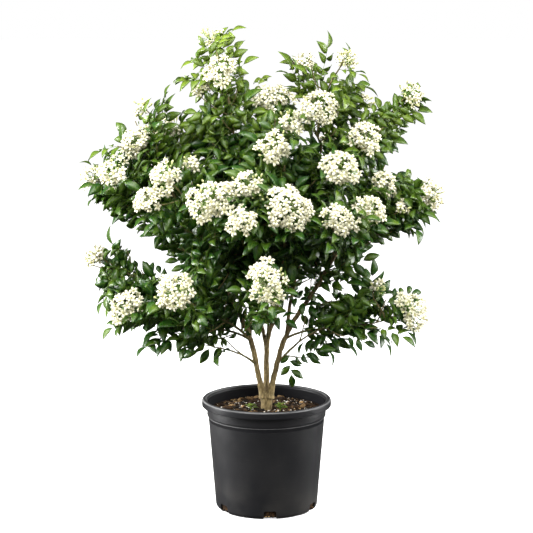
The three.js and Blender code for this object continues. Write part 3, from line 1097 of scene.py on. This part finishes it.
def flower_shape(petal, openness, rng):
    """A flower one unit across that looks along +Z, with its tube's foot at the origin."""
    shapes = []
    neck = Vector((0, 0, 0.42))
    shapes.append(tube([(0, 0, 0), (0, 0, 0.2)], (0.03, 0.06), 4, STALK))
    shapes.append(tube([(0, 0, 0.14), neck + UP * 0.02], (0.045, 0.085), 5, BLADE))
    for k in range(5):
        turn = 2 * math.pi * (k + rng.uniform(-0.06, 0.06)) / 5
        out = polar(1, turn)
        rise = math.radians(8 + 70 * (1 - openness) + rng.uniform(-7, 7))
        along = out * math.cos(rise) + UP * math.sin(rise)
        shapes.append(petal.moved(pose(neck + out * 0.05, along, UP - out * 0.01, 0.50)))
    if openness > 0.5:
        for k in range(5):
            turn = 2 * math.pi * (k + 0.5) / 5
            tip = neck + polar(0.12, turn, 0.22)
            shapes.append(tube([neck, tip], (0.006, 0.016), 3, POLLEN))
    return Template.joined(shapes)


def bud_shape():
    """A closed bud one unit long along +Z."""
    cup = tube([(0, 0, 0), (0, 0, 0.12), (0, 0, 0.2)], (0.03, 0.09, 0.07), 5, STALK)
    heights = (0.15, 0.35, 0.62, 0.85, 1.0)
    body = tube([(0, 0, z) for z in heights], (0.07, 0.12, 0.19, 0.16, 0.03), 5, BLADE)
    return Template.joined([cup, body])


class Bouquet:
    """Fills heads with flowers and buds."""

    def __init__(self, settings):
        self.settings = settings
        rng = random.Random(settings.seed)
        petal = petal_shape()
        self.open = [flower_shape(petal, 1.0, rng) for _ in range(4)]
        self.half = [flower_shape(petal, 0.35, rng) for _ in range(2)]
        self.bud = bud_shape()

    def placed(self, head, rng, place, direction, size, shape):
        """A flower with the middle of its face at a place, and its own stalk."""
        foot = place - direction * size * 0.45
        side = square_to(direction, rng.uniform(0, FULL_SPIN))
        flower = shape.moved(pose(foot, side, direction, size))
        bent = (head.seat + foot) / 2 + head.axis * head.radius * 0.05
        stalk = tube([head.seat, bent, foot], (0.0009, 0.0007, 0.0007), 3, STALK)
        return [flower, stalk]

    def fill(self, head, seed, green):
        """Shapes and tints of one head, made of a few small domes. A green head is mostly buds."""
        rng = random.Random(seed)
        lobes = head_lobes(head, rng, self.settings.buds)
        shapes, tints = [], []
        for lobe in lobes:
            others = [other for other in lobes if other is not lobe]
            for direction, is_bud in self.spread(lobe, rng, green):
                place = lobe.centre + direction * lobe.radius
                if any((place - other.centre).length < other.radius * 0.86 for other in others):
                    continue
                if (place - head.centre).dot(head.axis) < -0.45 * head.radius:
                    continue
                facing = (direction * 0.45 + (place - head.centre).normalized() * 0.35
                          + head.axis * 0.55 + TO_LIGHT * 0.55
                          + shaken(rng, 0.35)).normalized()
                shape, size, tint = self.choose(rng, is_bud, green)
                shapes += self.placed(head, rng, place, facing, size, shape)
                tints += [tint, tint]
        return shapes, tints

    def spread(self, lobe, rng, green):
        """Directions evenly round a small dome, and whether each ends in a bud."""
        width = self.settings.width
        area = 4 * math.pi * lobe.radius ** 2
        count = max(int(area / (math.pi * width * width / 4) * self.settings.cover), 5)
        spin = rng.uniform(0, FULL_SPIN)
        for k in range(count):
            z = 1 - 2 * (k + 0.5) / count
            flat = math.sqrt(1 - z * z)
            turn = spin + k * GOLDEN_TURN
            direction = polar(flat, turn, z)
            direction += shaken(rng, 0.16)
            is_bud = rng.random() < (0.65 if green else lobe.buds)
            yield direction.normalized(), is_bud

    def choose(self, rng, is_bud, green):
        width = self.settings.width
        if is_bud:
            tint = rng.uniform(0.7, 1.0) if green else rng.uniform(0.25, 0.95)
            return self.bud, width * rng.uniform(0.45, 0.70), tint
        shapes = self.open if rng.random() < 0.85 else self.half
        return rng.choice(shapes), width * rng.uniform(0.86, 1.12), rng.uniform(0.0, 0.16)


class Lobe(NamedTuple):
    """A small dome of flowers inside a head."""

    centre: Vector
    radius: float
    buds: float


def head_lobes(head, rng, buds):
    """One small dome on the head's axis and a ring of others round it, some of them mostly buds."""
    lobes = [Lobe(head.centre + head.axis * head.radius * 0.34, head.radius * 0.60, buds)]
    around = 3 + (head.radius >= SMALL_HEAD) + (head.radius >= MIDDLE_HEAD)
    side = square_to(head.axis, rng.uniform(0, FULL_SPIN))
    for k in range(around):
        out = side.copy()
        out.rotate(Matrix.Rotation(2 * math.pi * (k + rng.uniform(-0.2, 0.2)) / around, 3, head.axis))
        radius = head.radius * rng.uniform(0.30, 0.52)
        reach = head.radius * rng.uniform(0.50, 0.78)
        centre = head.centre + (out + head.axis * rng.uniform(-0.1, 0.4)) * reach
        young = 0.12 + 0.5 * max(out.z, 0) * max(head.centre.z - 0.55, 0) / 0.3
        lobes.append(Lobe(centre, radius, 0.75 if rng.random() < young else buds))
    return lobes


# ---------------------------------------------------------------- wood, pot and soil

# How much thicker a side shoot or a side head's twig is at its foot than at its tip.
SHOOT_TAPER = 1.5
SIDE_TWIG_TAPER = 1.6
# Space between the soil and the pot's wall.
FIT_GAP = 0.0004
# How far the soil has sunk at the wall, and how far from the wall its loose litter stops.
SOIL_FALL = 0.003
LITTER_MARGIN = 0.004
# Litter keeps this far from the pot's axis, where the crown stands.
CROWN_CLEARANCE = 0.020
# The first notch faces almost straight to the front.
FIRST_NOTCH = math.radians(-86)
NOTCH_DEPTH = 0.052
NOTCH_CRUMBS = 26


def wood_piece(name, runs, material, resolution=3):
    """Round wood along lines, from curves with a radius at each point."""
    deselect_all()
    bpy.ops.curve.primitive_bezier_curve_add()
    piece = bpy.context.object
    piece.name = name
    line = piece.data
    line.splines.clear()
    line.bevel_depth = 1.0
    line.bevel_resolution = resolution
    line.use_fill_caps = True
    for points, radii in runs:
        spline = line.splines.new("POLY")
        spline.points.add(len(points) - 1)
        for point, place, radius in zip(spline.points, points, radii):
            point.co = (*place, 1.0)
            point.radius = radius
    bpy.ops.object.convert(target="MESH")
    piece = bpy.context.object
    finish(piece, material, 50, 1e-5)
    return piece


def run_along(path, thick, thin, steps, wobble=0.0, rng=None, flare=0.0):
    """Points and radii of one length of wood, wandering a little and swelling at its foot."""
    points, radii = [], []
    for i in range(steps + 1):
        share = i / steps
        shake = wobble * min(4 * share * (1 - share) + 0.15, 1.0) if rng else 0.0
        step = shaken(rng, shake) if shake else Vector()
        points.append(path.at(share) + step * 0.5)
        swelling = flare * math.exp(-share * path.length / 0.010)
        knots = 1.0 + (rng.uniform(-0.05, 0.07) if rng else 0.0)
        radii.append((thick + (thin - thick) * share) * knots + swelling)
    return points, radii


def lathe(name, profile, sides):
    """A closed round solid, from a ring drawn out and resized along its profile of (radius, height)."""
    deselect_all()
    radius, height = profile[0]
    bpy.ops.mesh.primitive_circle_add(vertices=sides, radius=radius, location=(0, 0, height))
    piece = bpy.context.object
    piece.name = name
    bpy.ops.object.transform_apply(location=True, rotation=True, scale=True)
    with editing(piece, "EDGE"):
        bpy.ops.mesh.select_all(action="SELECT")
        bpy.ops.mesh.edge_face_add()
        bpy.ops.mesh.select_mode(type="EDGE")
        for (r0, z0), (r1, z1) in zip(profile, profile[1:]):
            bpy.ops.mesh.extrude_region_move(TRANSFORM_OT_translate={"value": (0, 0, z1 - z0)})
            bpy.ops.transform.resize(value=(r1 / r0, r1 / r0, 1))
    return piece


def arc_profile(centre_r, centre_z, radius, start, end, steps):
    return [
        (centre_r + radius * math.cos(math.radians(a)), centre_z + radius * math.sin(math.radians(a)))
        for a in np.linspace(start, end, steps + 1)]


class PotSizes:
    """Sizes of the pot, read from its framed node and the settings."""

    def __init__(self, settings):
        low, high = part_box("pot")
        self.height = high.z
        self.rim = (high.y - low.y) / 2
        self.wall = settings.wall
        self.corner = settings.corner
        self.lip_foot = self.height - settings.lip
        self.collar_foot = self.lip_foot - settings.collar
        soil_low, soil_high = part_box("potting_soil")
        self.collar = (soil_high - soil_low).y / 2 + self.wall + FIT_GAP
        self.base = self.collar * 0.858
        self.soil_level = soil_high.z
        self.litter_reach = self.collar - self.wall - LITTER_MARGIN

    def body(self, height):
        share = (height - self.corner) / (self.collar_foot - self.corner)
        return self.base + (self.collar - 0.0025 - self.base) * share


def pot_profile(s):
    roll = 0.005
    skirt = s.rim - s.wall
    foot = s.collar_foot
    return [
        *arc_profile(s.base - s.corner, s.corner, s.corner, -90, 0, 6),
        (s.body(s.height * 0.3), s.height * 0.3),
        (s.body(s.height * 0.6), s.height * 0.6),
        (s.body(foot - 0.0030), foot - 0.0030),
        (s.body(foot - 0.0030) + 0.0006, foot - 0.0022),
        (s.body(foot) + 0.0004, foot - 0.0008),
        (s.collar - 0.0012, foot + 0.0004),
        (s.collar - 0.0003, foot + 0.0015),
        (s.collar, foot + 0.0035),
        (s.collar, s.lip_foot),
        (s.collar, s.height - roll - 0.003),
        (skirt, s.height - roll - s.wall),
        (skirt, s.lip_foot + 0.0004),
        (skirt + 0.0005, s.lip_foot),
        (s.rim - 0.0006, s.lip_foot),
        (s.rim, s.lip_foot + 0.0008),
        *arc_profile(s.rim - roll, s.height - roll, roll, 0, 90, 6),
        (s.rim - 0.0068, s.height),
        (s.rim - 0.0078, s.height - 0.0004),
        (s.rim - 0.0084, s.height - 0.0014),
        (s.collar - s.wall + 0.0012, s.height - roll),
        (s.collar - s.wall, s.height - roll - 0.003),
        (s.collar - s.wall, foot + 0.002),
        (s.body(foot) - s.wall, foot - 0.001),
        *arc_profile(s.base - s.corner, s.corner, s.corner - s.wall, 0, -80, 4),
        (s.base - s.corner, s.wall),
    ]


def soil_fall(share):
    """How far the soil has sunk at a share of the way from the middle to the wall."""
    return SOIL_FALL * clamp((share - 0.5) * 2, 0, 1)


def soil_profile(s):
    gap = s.wall + FIT_GAP
    top = s.collar - gap
    side = [(s.body(z) - gap, z) for z in np.linspace(s.corner, 0.026, 6)]
    upper = [(s.body(z) - gap, z) for z in np.linspace(0.05, s.collar_foot - 0.001, 6)]
    profile = [
        (s.base - 2.2 * s.corner, gap),
        *arc_profile(s.base - s.corner, s.corner, s.corner - gap, -90, -10, 3),
        *side, *upper, (top, s.collar_foot + 0.0025), (top, s.soil_level - 0.003)]
    for share in np.linspace(0.985, 0.03, 44):
        profile.append((top * share, s.soil_level - soil_fall(share)))
    return profile


def notch_cutter(sizes, settings, turn):
    """A block with a rounded top that cuts one drainage notch through the base's corner."""
    deselect_all()
    bpy.ops.mesh.primitive_cube_add(size=1)
    piece = bpy.context.object
    with editing(piece, "EDGE"):
        bpy.ops.mesh.select_all(action="SELECT")
        bpy.ops.transform.resize(value=(NOTCH_DEPTH, settings.notch_width, settings.notch_height * 2))
        bpy.ops.transform.translate(value=(sizes.base, 0, 0))
        bpy.ops.mesh.select_all(action="DESELECT")
        bpy.ops.mesh.select_mode(type="VERT")
        pick(lambda co: co.z > 0)
        bpy.ops.transform.resize(value=(1, 0.86, 1))
        bpy.ops.mesh.bevel(offset=0.004, segments=4, affect="EDGES")
        bpy.ops.mesh.select_all(action="SELECT")
        bpy.ops.transform.rotate(value=-turn, orient_axis="Z", center_override=(0, 0, 0))
    return piece


def notch_turn(k, settings):
    return FIRST_NOTCH + 2 * math.pi * k / settings.notches


def cut_notches(pot, sizes, settings):
    for k in range(settings.notches):
        cutter = notch_cutter(sizes, settings, notch_turn(k, settings))
        apply_modifier(pot, "BOOLEAN", object=cutter, operation="DIFFERENCE", solver="EXACT")
        bpy.data.objects.remove(cutter)


def roughen(piece, test, strength, size, mid_level, name):
    """Pushes the chosen part of a surface in and out with a cloudy texture."""
    group = piece.vertex_groups.new(name=name)
    group.add([v.index for v in piece.data.vertices if test(v.co)], 1.0, "REPLACE")
    texture = bpy.data.textures.new(name, "CLOUDS")
    texture.noise_scale = size
    texture.noise_depth = 3
    apply_modifier(piece, "DISPLACE", texture=texture, texture_coords="LOCAL", strength=strength,
                   mid_level=mid_level, vertex_group=name)


def crumb_shape(seed, subdivisions):
    """An irregular lump one unit across."""
    deselect_all()
    if subdivisions:
        bpy.ops.mesh.primitive_ico_sphere_add(subdivisions=subdivisions, radius=0.5)
    else:
        bpy.ops.mesh.primitive_cube_add(size=1)
    piece = bpy.context.object
    with editing(piece):
        bpy.ops.mesh.select_all(action="SELECT")
        if not subdivisions:
            bpy.ops.mesh.subdivide(number_cuts=1, smoothness=0.4)
        bpy.ops.transform.vertex_random(offset=0.14, seed=seed)
    return template_of(piece, BLADE)


def scatter(sizes, shapes, count, measure, rng, lean):
    """Copies of the shapes lying on the soil. measure(rng) gives length, width and thickness."""
    placed = []
    reach = sizes.litter_reach
    while len(placed) < count:
        out = reach * math.sqrt(rng.random())
        turn = rng.uniform(0, 2 * math.pi)
        size = measure(rng)
        if out < CROWN_CLEARANCE or out + size[0] / 2 > reach:
            continue
        height = sizes.soil_level - soil_fall(out / reach)
        place = polar(out, turn, height + size[2] * 0.5)
        facing = UP + Vector((rng.uniform(-lean, lean), rng.uniform(-lean, lean), 0))
        heading = Vector((math.cos(rng.uniform(0, FULL_SPIN)), math.sin(rng.uniform(0, FULL_SPIN)), 0))
        matrix = pose(place, heading, facing) @ Matrix.Diagonal((*size, 1.0))
        placed.append(rng.choice(shapes).moved(matrix))
    return placed


# ---------------------------------------------------------------- operators


def declare(piece, slot, *nodes):
    """Hands a finished piece to the frame. Raises an error if the piece came out empty."""
    if not piece.data.polygons:
        raise RuntimeError(f"{piece.name} has no faces")
    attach(piece, "root")
    if nodes:
        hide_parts(*nodes)


class JASMINE_OT_pot(bpy.types.Operator):
    """Moulds the black nursery pot with its rolled lip, collar and drainage notches"""

    bl_idname = "jasmine.pot"
    bl_label = "Pot"

    def execute(self, context):
        settings = context.scene.jasmine_pot
        sizes = PotSizes(settings)
        pot = lathe("nursery_pot", pot_profile(sizes), settings.sides)
        with editing(pot):
            bpy.ops.mesh.select_all(action="SELECT")
            bpy.ops.mesh.normals_make_consistent(inside=False)
        cut_notches(pot, sizes, settings)
        # Heights of the painted highlight lines, with some rubbed wear: the collar's ridge and the lip's
        # top edge.
        highlight_and_wear_heights = (sizes.collar_foot - 0.001, sizes.height - 0.0016)
        plastic = pot_material(settings, sizes.height, sizes.lip_foot, highlight_and_wear_heights, sizes.collar - 0.001)
        finish(pot, plastic, 32)
        declare(pot, "pot_plastic", "pot")
        return {"FINISHED"}


class JASMINE_OT_soil(bpy.types.Operator):
    """Fills the pot with crumbly bark mix, strewn with bark chips and white grains"""

    bl_idname = "jasmine.soil"
    bl_label = "Soil"

    def execute(self, context):
        settings = context.scene.jasmine_soil
        sizes = PotSizes(context.scene.jasmine_pot)
        rng = random.Random(settings.seed)
        soil = lathe("bark_mix", soil_profile(sizes), 120)
        finish(soil, soil_material(settings), 60)
        roughen(soil, lambda co: co.z > sizes.soil_level - 0.004 and co.xy.length < sizes.litter_reach,
                settings.lumps * 2, 0.011, 0.62, "lumps")
        roughen(soil, lambda co: 0.004 < co.z < 0.03, 0.003, 0.006, 1.0, "crumbs")
        declare(soil, "soil", "potting_soil")
        chips = [crumb_shape(k, 0) for k in range(5)]
        placed = scatter(sizes, chips, settings.chips, self.chip_size, rng, 0.7)
        placed += self.notch_crumbs(sizes, context.scene.jasmine_pot, chips, rng)
        tints = [rng.betavariate(0.7, 1.5) for _ in placed]
        litter = piece_from("bark_chips", placed, tints, chip_material(settings))
        declare(litter, "soil")
        grains = [crumb_shape(k, 1) for k in range(4)]
        placed = scatter(sizes, grains, settings.grains, self.grain_size, rng, 0.9)
        tints = [rng.random() for _ in placed]
        white = piece_from("white_grains", placed, tints, grain_material(settings))
        declare(white, "soil")
        return {"FINISHED"}

    @staticmethod
    def notch_crumbs(sizes, pot, shapes, rng):
        """Crumbs that show in the drainage notches."""
        placed = []
        for k in range(pot.notches):
            for _ in range(NOTCH_CRUMBS):
                turn = notch_turn(k, pot) + rng.uniform(-0.5, 0.5) * pot.notch_width / sizes.base
                out = sizes.base - rng.uniform(0.005, 0.010)
                long = rng.uniform(0.002, 0.006)
                place = polar(out, turn, rng.uniform(0.0045, 0.015))
                facing = shaken(rng, 1)
                matrix = pose(place, facing.orthogonal(), facing)
                placed.append(rng.choice(shapes).moved(
                    matrix @ Matrix.Diagonal((long, long * 0.6, long * 0.4, 1.0))))
        return placed

    @staticmethod
    def chip_size(rng):
        long = rng.uniform(0.003, 0.008) if rng.random() < 0.88 else rng.uniform(0.008, 0.016)
        return long, long * rng.uniform(0.25, 0.70), long * rng.uniform(0.12, 0.4)

    @staticmethod
    def grain_size(rng):
        wide = rng.uniform(0.0016, 0.0046)
        return wide, wide * rng.uniform(0.7, 1.0), wide * rng.uniform(0.6, 0.9)


class JASMINE_OT_stems(bpy.types.Operator):
    """Grows the root crown and the six bare stems"""

    bl_idname = "jasmine.stems"
    bl_label = "Stems"

    def execute(self, context):
        settings = context.scene.jasmine_wood
        rng = random.Random(2)
        bark = bark_material("grey-brown bark", settings, 0.0)
        for key, stem in plant().stems.items():
            forked = stem.path.at(0).z > 0.3
            run = run_along(stem.path, stem.base_radius, stem.tip_radius, 60, settings.wobble, rng,
                            0.0015 if forked else 0.0035)
            wood = wood_piece(f"wood_{key}", [run], bark, 4)
            declare(wood, "bark", stem.node)
        low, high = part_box("root_crown")
        middle = (low + high) / 2
        foot = (high.x - low.x) / 2
        heights = np.linspace(low.z + 0.01, high.z + 0.001, 9)
        radii = foot * np.array((1.04, 0.98, 0.92, 0.88, 0.86, 0.86, 0.88, 0.84, 0.55))
        points = [(middle.x, middle.y, z) for z in heights]
        crown = wood_piece("crown", [(points, radii)], bark, 6)
        roughen(crown, lambda co: True, 0.006, 0.010, 0.5, "gnarls")
        declare(crown, "bark", "root_crown")
        return {"FINISHED"}


class JASMINE_OT_branches(bpy.types.Operator):
    """Grows the twigs and side shoots with their compound leaves"""

    bl_idname = "jasmine.branches"
    bl_label = "Branches and leaves"

    def execute(self, context):
        leaves = context.scene.jasmine_leaves
        wood = context.scene.jasmine_wood
        heads = [h for b in plant().branches for h in (*b.heads, *b.side_heads)]
        foliage = Foliage(leaves, heads)
        green = leaf_material(leaves)
        bark = bark_material("young bark", wood, 0.25)
        for k, branch in enumerate(plant().branches):
            short = [side_twig(branch, head) for head in branch.side_heads]
            low = branch.main.at(1.0).z < LOW_TIP
            reach = leaves.low_reach if low and branch.heads else leaves.branch_reach
            foliage.start(leaves.seed * 100 + k, [*branch.paths(), *short], reach)
            self.branch(branch, short, foliage, wood, bark, green)
        for k, (key, stem) in enumerate(plant().stems.items()):
            path = stem.leafy_part()
            foliage.start(leaves.seed * 500 + k, [path], leaves.stem_reach)
            foliage.twig(path, 0.3, 0.1)
            shoots = foliage.shoots(path, 0.0, 0.15)
            runs = [(line, wood.twig_radius * SHOOT_TAPER) for line in shoots]
            self.make(f"stem_{key}", stem.node, runs, foliage, wood, bark, green)
        return {"FINISHED"}

    def branch(self, branch, short, foliage, wood, bark, green):
        tip = branch.main.at(1.0)
        hang = clamp((0.60 - tip.z) / 0.35, 0.05, 0.45)
        runs = []
        thick = min(wood.branch_radius, branch.stem.base_radius * 0.65)
        low = tip.z < LOW_TIP
        start = 0.08 if low or branch.main.at(0).z > 0.6 else 0.18
        for path in branch.paths():
            foliage.twig(path, start, hang)
            shoots = foliage.shoots(path, start, hang)
            runs.append((path, thick))
            runs += [(line, wood.twig_radius * SHOOT_TAPER) for line in shoots]
        for path in short:
            foliage.twig(path, 0.45, hang, 0.011)
            runs.append((path, wood.twig_radius * SIDE_TWIG_TAPER))
        if branch.label in HANGING:
            foliage.hanging_leaf(branch.main.at(0.2))
        self.make(branch.label, branch.node, runs, foliage, wood, bark, green)

    def make(self, label, node, runs, foliage, wood, bark, green):
        if runs:
            rng = random.Random(label)
            lines = [run_along(path, thick, wood.twig_radius, 14, 0.0008, rng)
                     for path, thick in runs]
            declare(wood_piece(f"twigs_{label}", lines, bark, 1), "bark", node)
        leaves = piece_from(f"leaves_{label}", foliage.shapes, foliage.tints, green)
        declare(leaves, "foliage", node)


class JASMINE_OT_flowers(bpy.types.Operator):
    """Opens the domed heads of five-petalled flowers and buds"""

    bl_idname = "jasmine.flowers"
    bl_label = "Flowers"

    def execute(self, context):
        settings = context.scene.jasmine_flowers
        bouquet = Bouquet(settings)
        petal = flower_material(settings)
        seed = settings.seed * 1000
        for branch in plant().branches:
            for head in branch.heads:
                group = [head, *(s for s in branch.side_heads if s.name.startswith(f"side_{head.name}_"))]
                shapes, tints = [], []
                for one in group:
                    seed += 1
                    green = one.name in GREEN_HEADS or one.radius < BUD_HEAD
                    more = bouquet.fill(one, seed, green)
                    shapes += more[0]
                    tints += more[1]
                piece = piece_from(f"blossom_{head.name[len('flowers_'):]}", shapes, tints, petal)
                declare(piece, "petal", head.name)
        return {"FINISHED"}


class JASMINE_OT_seedlings(bpy.types.Operator):
    """Sprouts two small seedlings beside the crown"""

    bl_idname = "jasmine.seedlings"
    bl_label = "Seedlings"

    def execute(self, context):
        leaves = context.scene.jasmine_leaves
        rng = random.Random(8)
        leaflet = leaflet_shape(leaves)
        green = leaf_material(leaves)
        for node in ("seedling_left", "seedling_right"):
            low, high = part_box(node)
            foot = Vector(((low.x + high.x) / 2, (low.y + high.y) / 2, low.z))
            height = high.z - low.z
            shapes = [tube([foot, foot + UP * height * 0.8], (0.0008, 0.0005), 5, STALK)]
            for k in range(9):
                place = foot + UP * height * (0.3 + 0.6 * k / 8)
                turn = k * GOLDEN_TURN
                out = polar(1, turn, rng.uniform(0.1, 0.7))
                size = rng.uniform(0.012, 0.019)
                shapes.append(leaflet.moved(pose(place, out, UP, size)))
            tints = [rng.uniform(0.6, 0.95) for _ in shapes]
            declare(piece_from(f"sprout_{node}", shapes, tints, green), "sprout", node)
        return {"FINISHED"}


class JASMINE_OT_stage(bpy.types.Operator):
    """Sets the pale floor, the soft studio light and the camera"""

    bl_idname = "jasmine.stage"
    bl_label = "Stage"

    def execute(self, context):
        settings = context.scene.jasmine_stage
        self.floor(settings)
        self.world(context.scene, settings)
        self.lights(settings)
        self.camera(context.scene, settings)
        context.scene.view_settings.view_transform = "Standard"
        return {"FINISHED"}

    def floor(self, settings):
        deselect_all()
        bpy.ops.mesh.primitive_plane_add(size=60)
        floor = bpy.context.object
        floor.name = "studio_floor"
        floor.visible_diffuse = False
        floor.visible_glossy = False
        shader = Shader("studio floor")
        shade = shader.noise(3.0, 2.0)
        paler = [min(c * 1.02, 1.0) for c in settings.floor]
        shader.principled_set(
            Base_Color=shader.mix(shade, settings.floor, paler), Roughness=0.9,
            Emission_Color=(1, 1, 1, 1), Emission_Strength=settings.floor_glow)
        floor.data.materials.append(shader.done())

    def world(self, scene, settings):
        world = bpy.data.worlds.new("white studio")
        scene.world = world
        world.use_nodes = True
        nodes, links = world.node_tree.nodes, world.node_tree.links
        soft = nodes["Background"]
        soft.inputs["Color"].default_value = (1, 1, 1, 1)
        direction = nodes.new("ShaderNodeSeparateXYZ")
        links.new(nodes.new("ShaderNodeTexCoord").outputs["Generated"], direction.inputs[0])
        from_above = nodes.new("ShaderNodeMapRange")
        for socket, value in (("From Min", -0.4), ("From Max", 0.8),
                              ("To Min", 0.2 * settings.daylight), ("To Max", settings.daylight)):
            from_above.inputs[socket].default_value = value
        links.new(direction.outputs["Z"], from_above.inputs["Value"])
        strength = nodes.new("ShaderNodeMapRange")
        strength.inputs["To Max"].default_value = 1.0
        links.new(from_above.outputs["Result"], strength.inputs["To Min"])
        links.new(nodes.new("ShaderNodeLightPath").outputs["Is Camera Ray"], strength.inputs["Value"])
        links.new(strength.outputs["Result"], soft.inputs["Strength"])

    def lights(self, settings):
        aim = Vector((0, 0, 0.5))
        for name, place, wide, tall, share in (
                ("key", (-1.7, -2.2, 2.7), 1.4, 1.4, 1.0),
                ("fill", (2.3, -1.9, 2.0), 1.4, 1.4, 0.55),
                ("top", (0.1, -0.9, 3.1), 2.6, 2.2, 1.15),
                ("front", (0.2, -2.6, 2.3), 1.6, 1.0, 0.16),
                ("left_strip", (-2.6, 0.1, 0.9), 0.7, 2.0, 1.80),
                ("right_strip", (2.6, 0.5, 0.9), 0.7, 2.0, 0.90)):
            light = bpy.data.lights.new(name, "AREA")
            light.shape = "RECTANGLE"
            light.size = wide
            light.size_y = tall
            light.energy = settings.key * share
            lamp = bpy.data.objects.new(name, light)
            bpy.context.collection.objects.link(lamp)
            lamp.location = place
            lamp.rotation_euler = (aim - Vector(place)).to_track_quat("-Z", "Y").to_euler()

    def camera(self, scene, settings):
        data = bpy.data.cameras.new("camera")
        data.lens = settings.lens
        data.sensor_width = 36
        camera = bpy.data.objects.new("camera", data)
        bpy.context.collection.objects.link(camera)
        camera.location = (0, -settings.camera_distance, settings.camera_height)
        camera.rotation_euler = (math.pi / 2 - settings.camera_tilt, 0, 0)
        scene.camera = camera


OPERATORS = (
    JASMINE_OT_pot, JASMINE_OT_soil, JASMINE_OT_stems, JASMINE_OT_branches,
    JASMINE_OT_flowers, JASMINE_OT_seedlings, JASMINE_OT_stage)


class JASMINE_PT_panel(bpy.types.Panel):
    bl_idname = "JASMINE_PT_panel"
    bl_label = "Potted Orange Jasmine"
    bl_space_type = "VIEW_3D"
    bl_region_type = "UI"
    bl_category = "Jasmine"

    def draw(self, context):
        for operator in OPERATORS:
            self.layout.operator(operator.bl_idname)
        for key in SETTINGS:
            box = self.layout.box()
            box.label(text=key.split("_")[1].capitalize())
            group = getattr(context.scene, key)
            for name in group.__annotations__:
                box.prop(group, name)


def register():
    for group in SETTINGS.values():
        bpy.utils.register_class(group)
    for key, group in SETTINGS.items():
        setattr(bpy.types.Scene, key, PointerProperty(type=group))
    for made in (*OPERATORS, JASMINE_PT_panel):
        bpy.utils.register_class(made)


def unregister():
    for made in reversed((*OPERATORS, JASMINE_PT_panel)):
        bpy.utils.unregister_class(made)
    for key in SETTINGS:
        delattr(bpy.types.Scene, key)
    for group in reversed(tuple(SETTINGS.values())):
        bpy.utils.unregister_class(group)


def main():
    register()
    bpy.ops.jasmine.pot()
    bpy.ops.jasmine.soil()
    bpy.ops.jasmine.stems()
    bpy.ops.jasmine.branches()
    bpy.ops.jasmine.flowers()
    bpy.ops.jasmine.seedlings()
    bpy.ops.jasmine.stage()


if __name__ == "__main__":
    main()
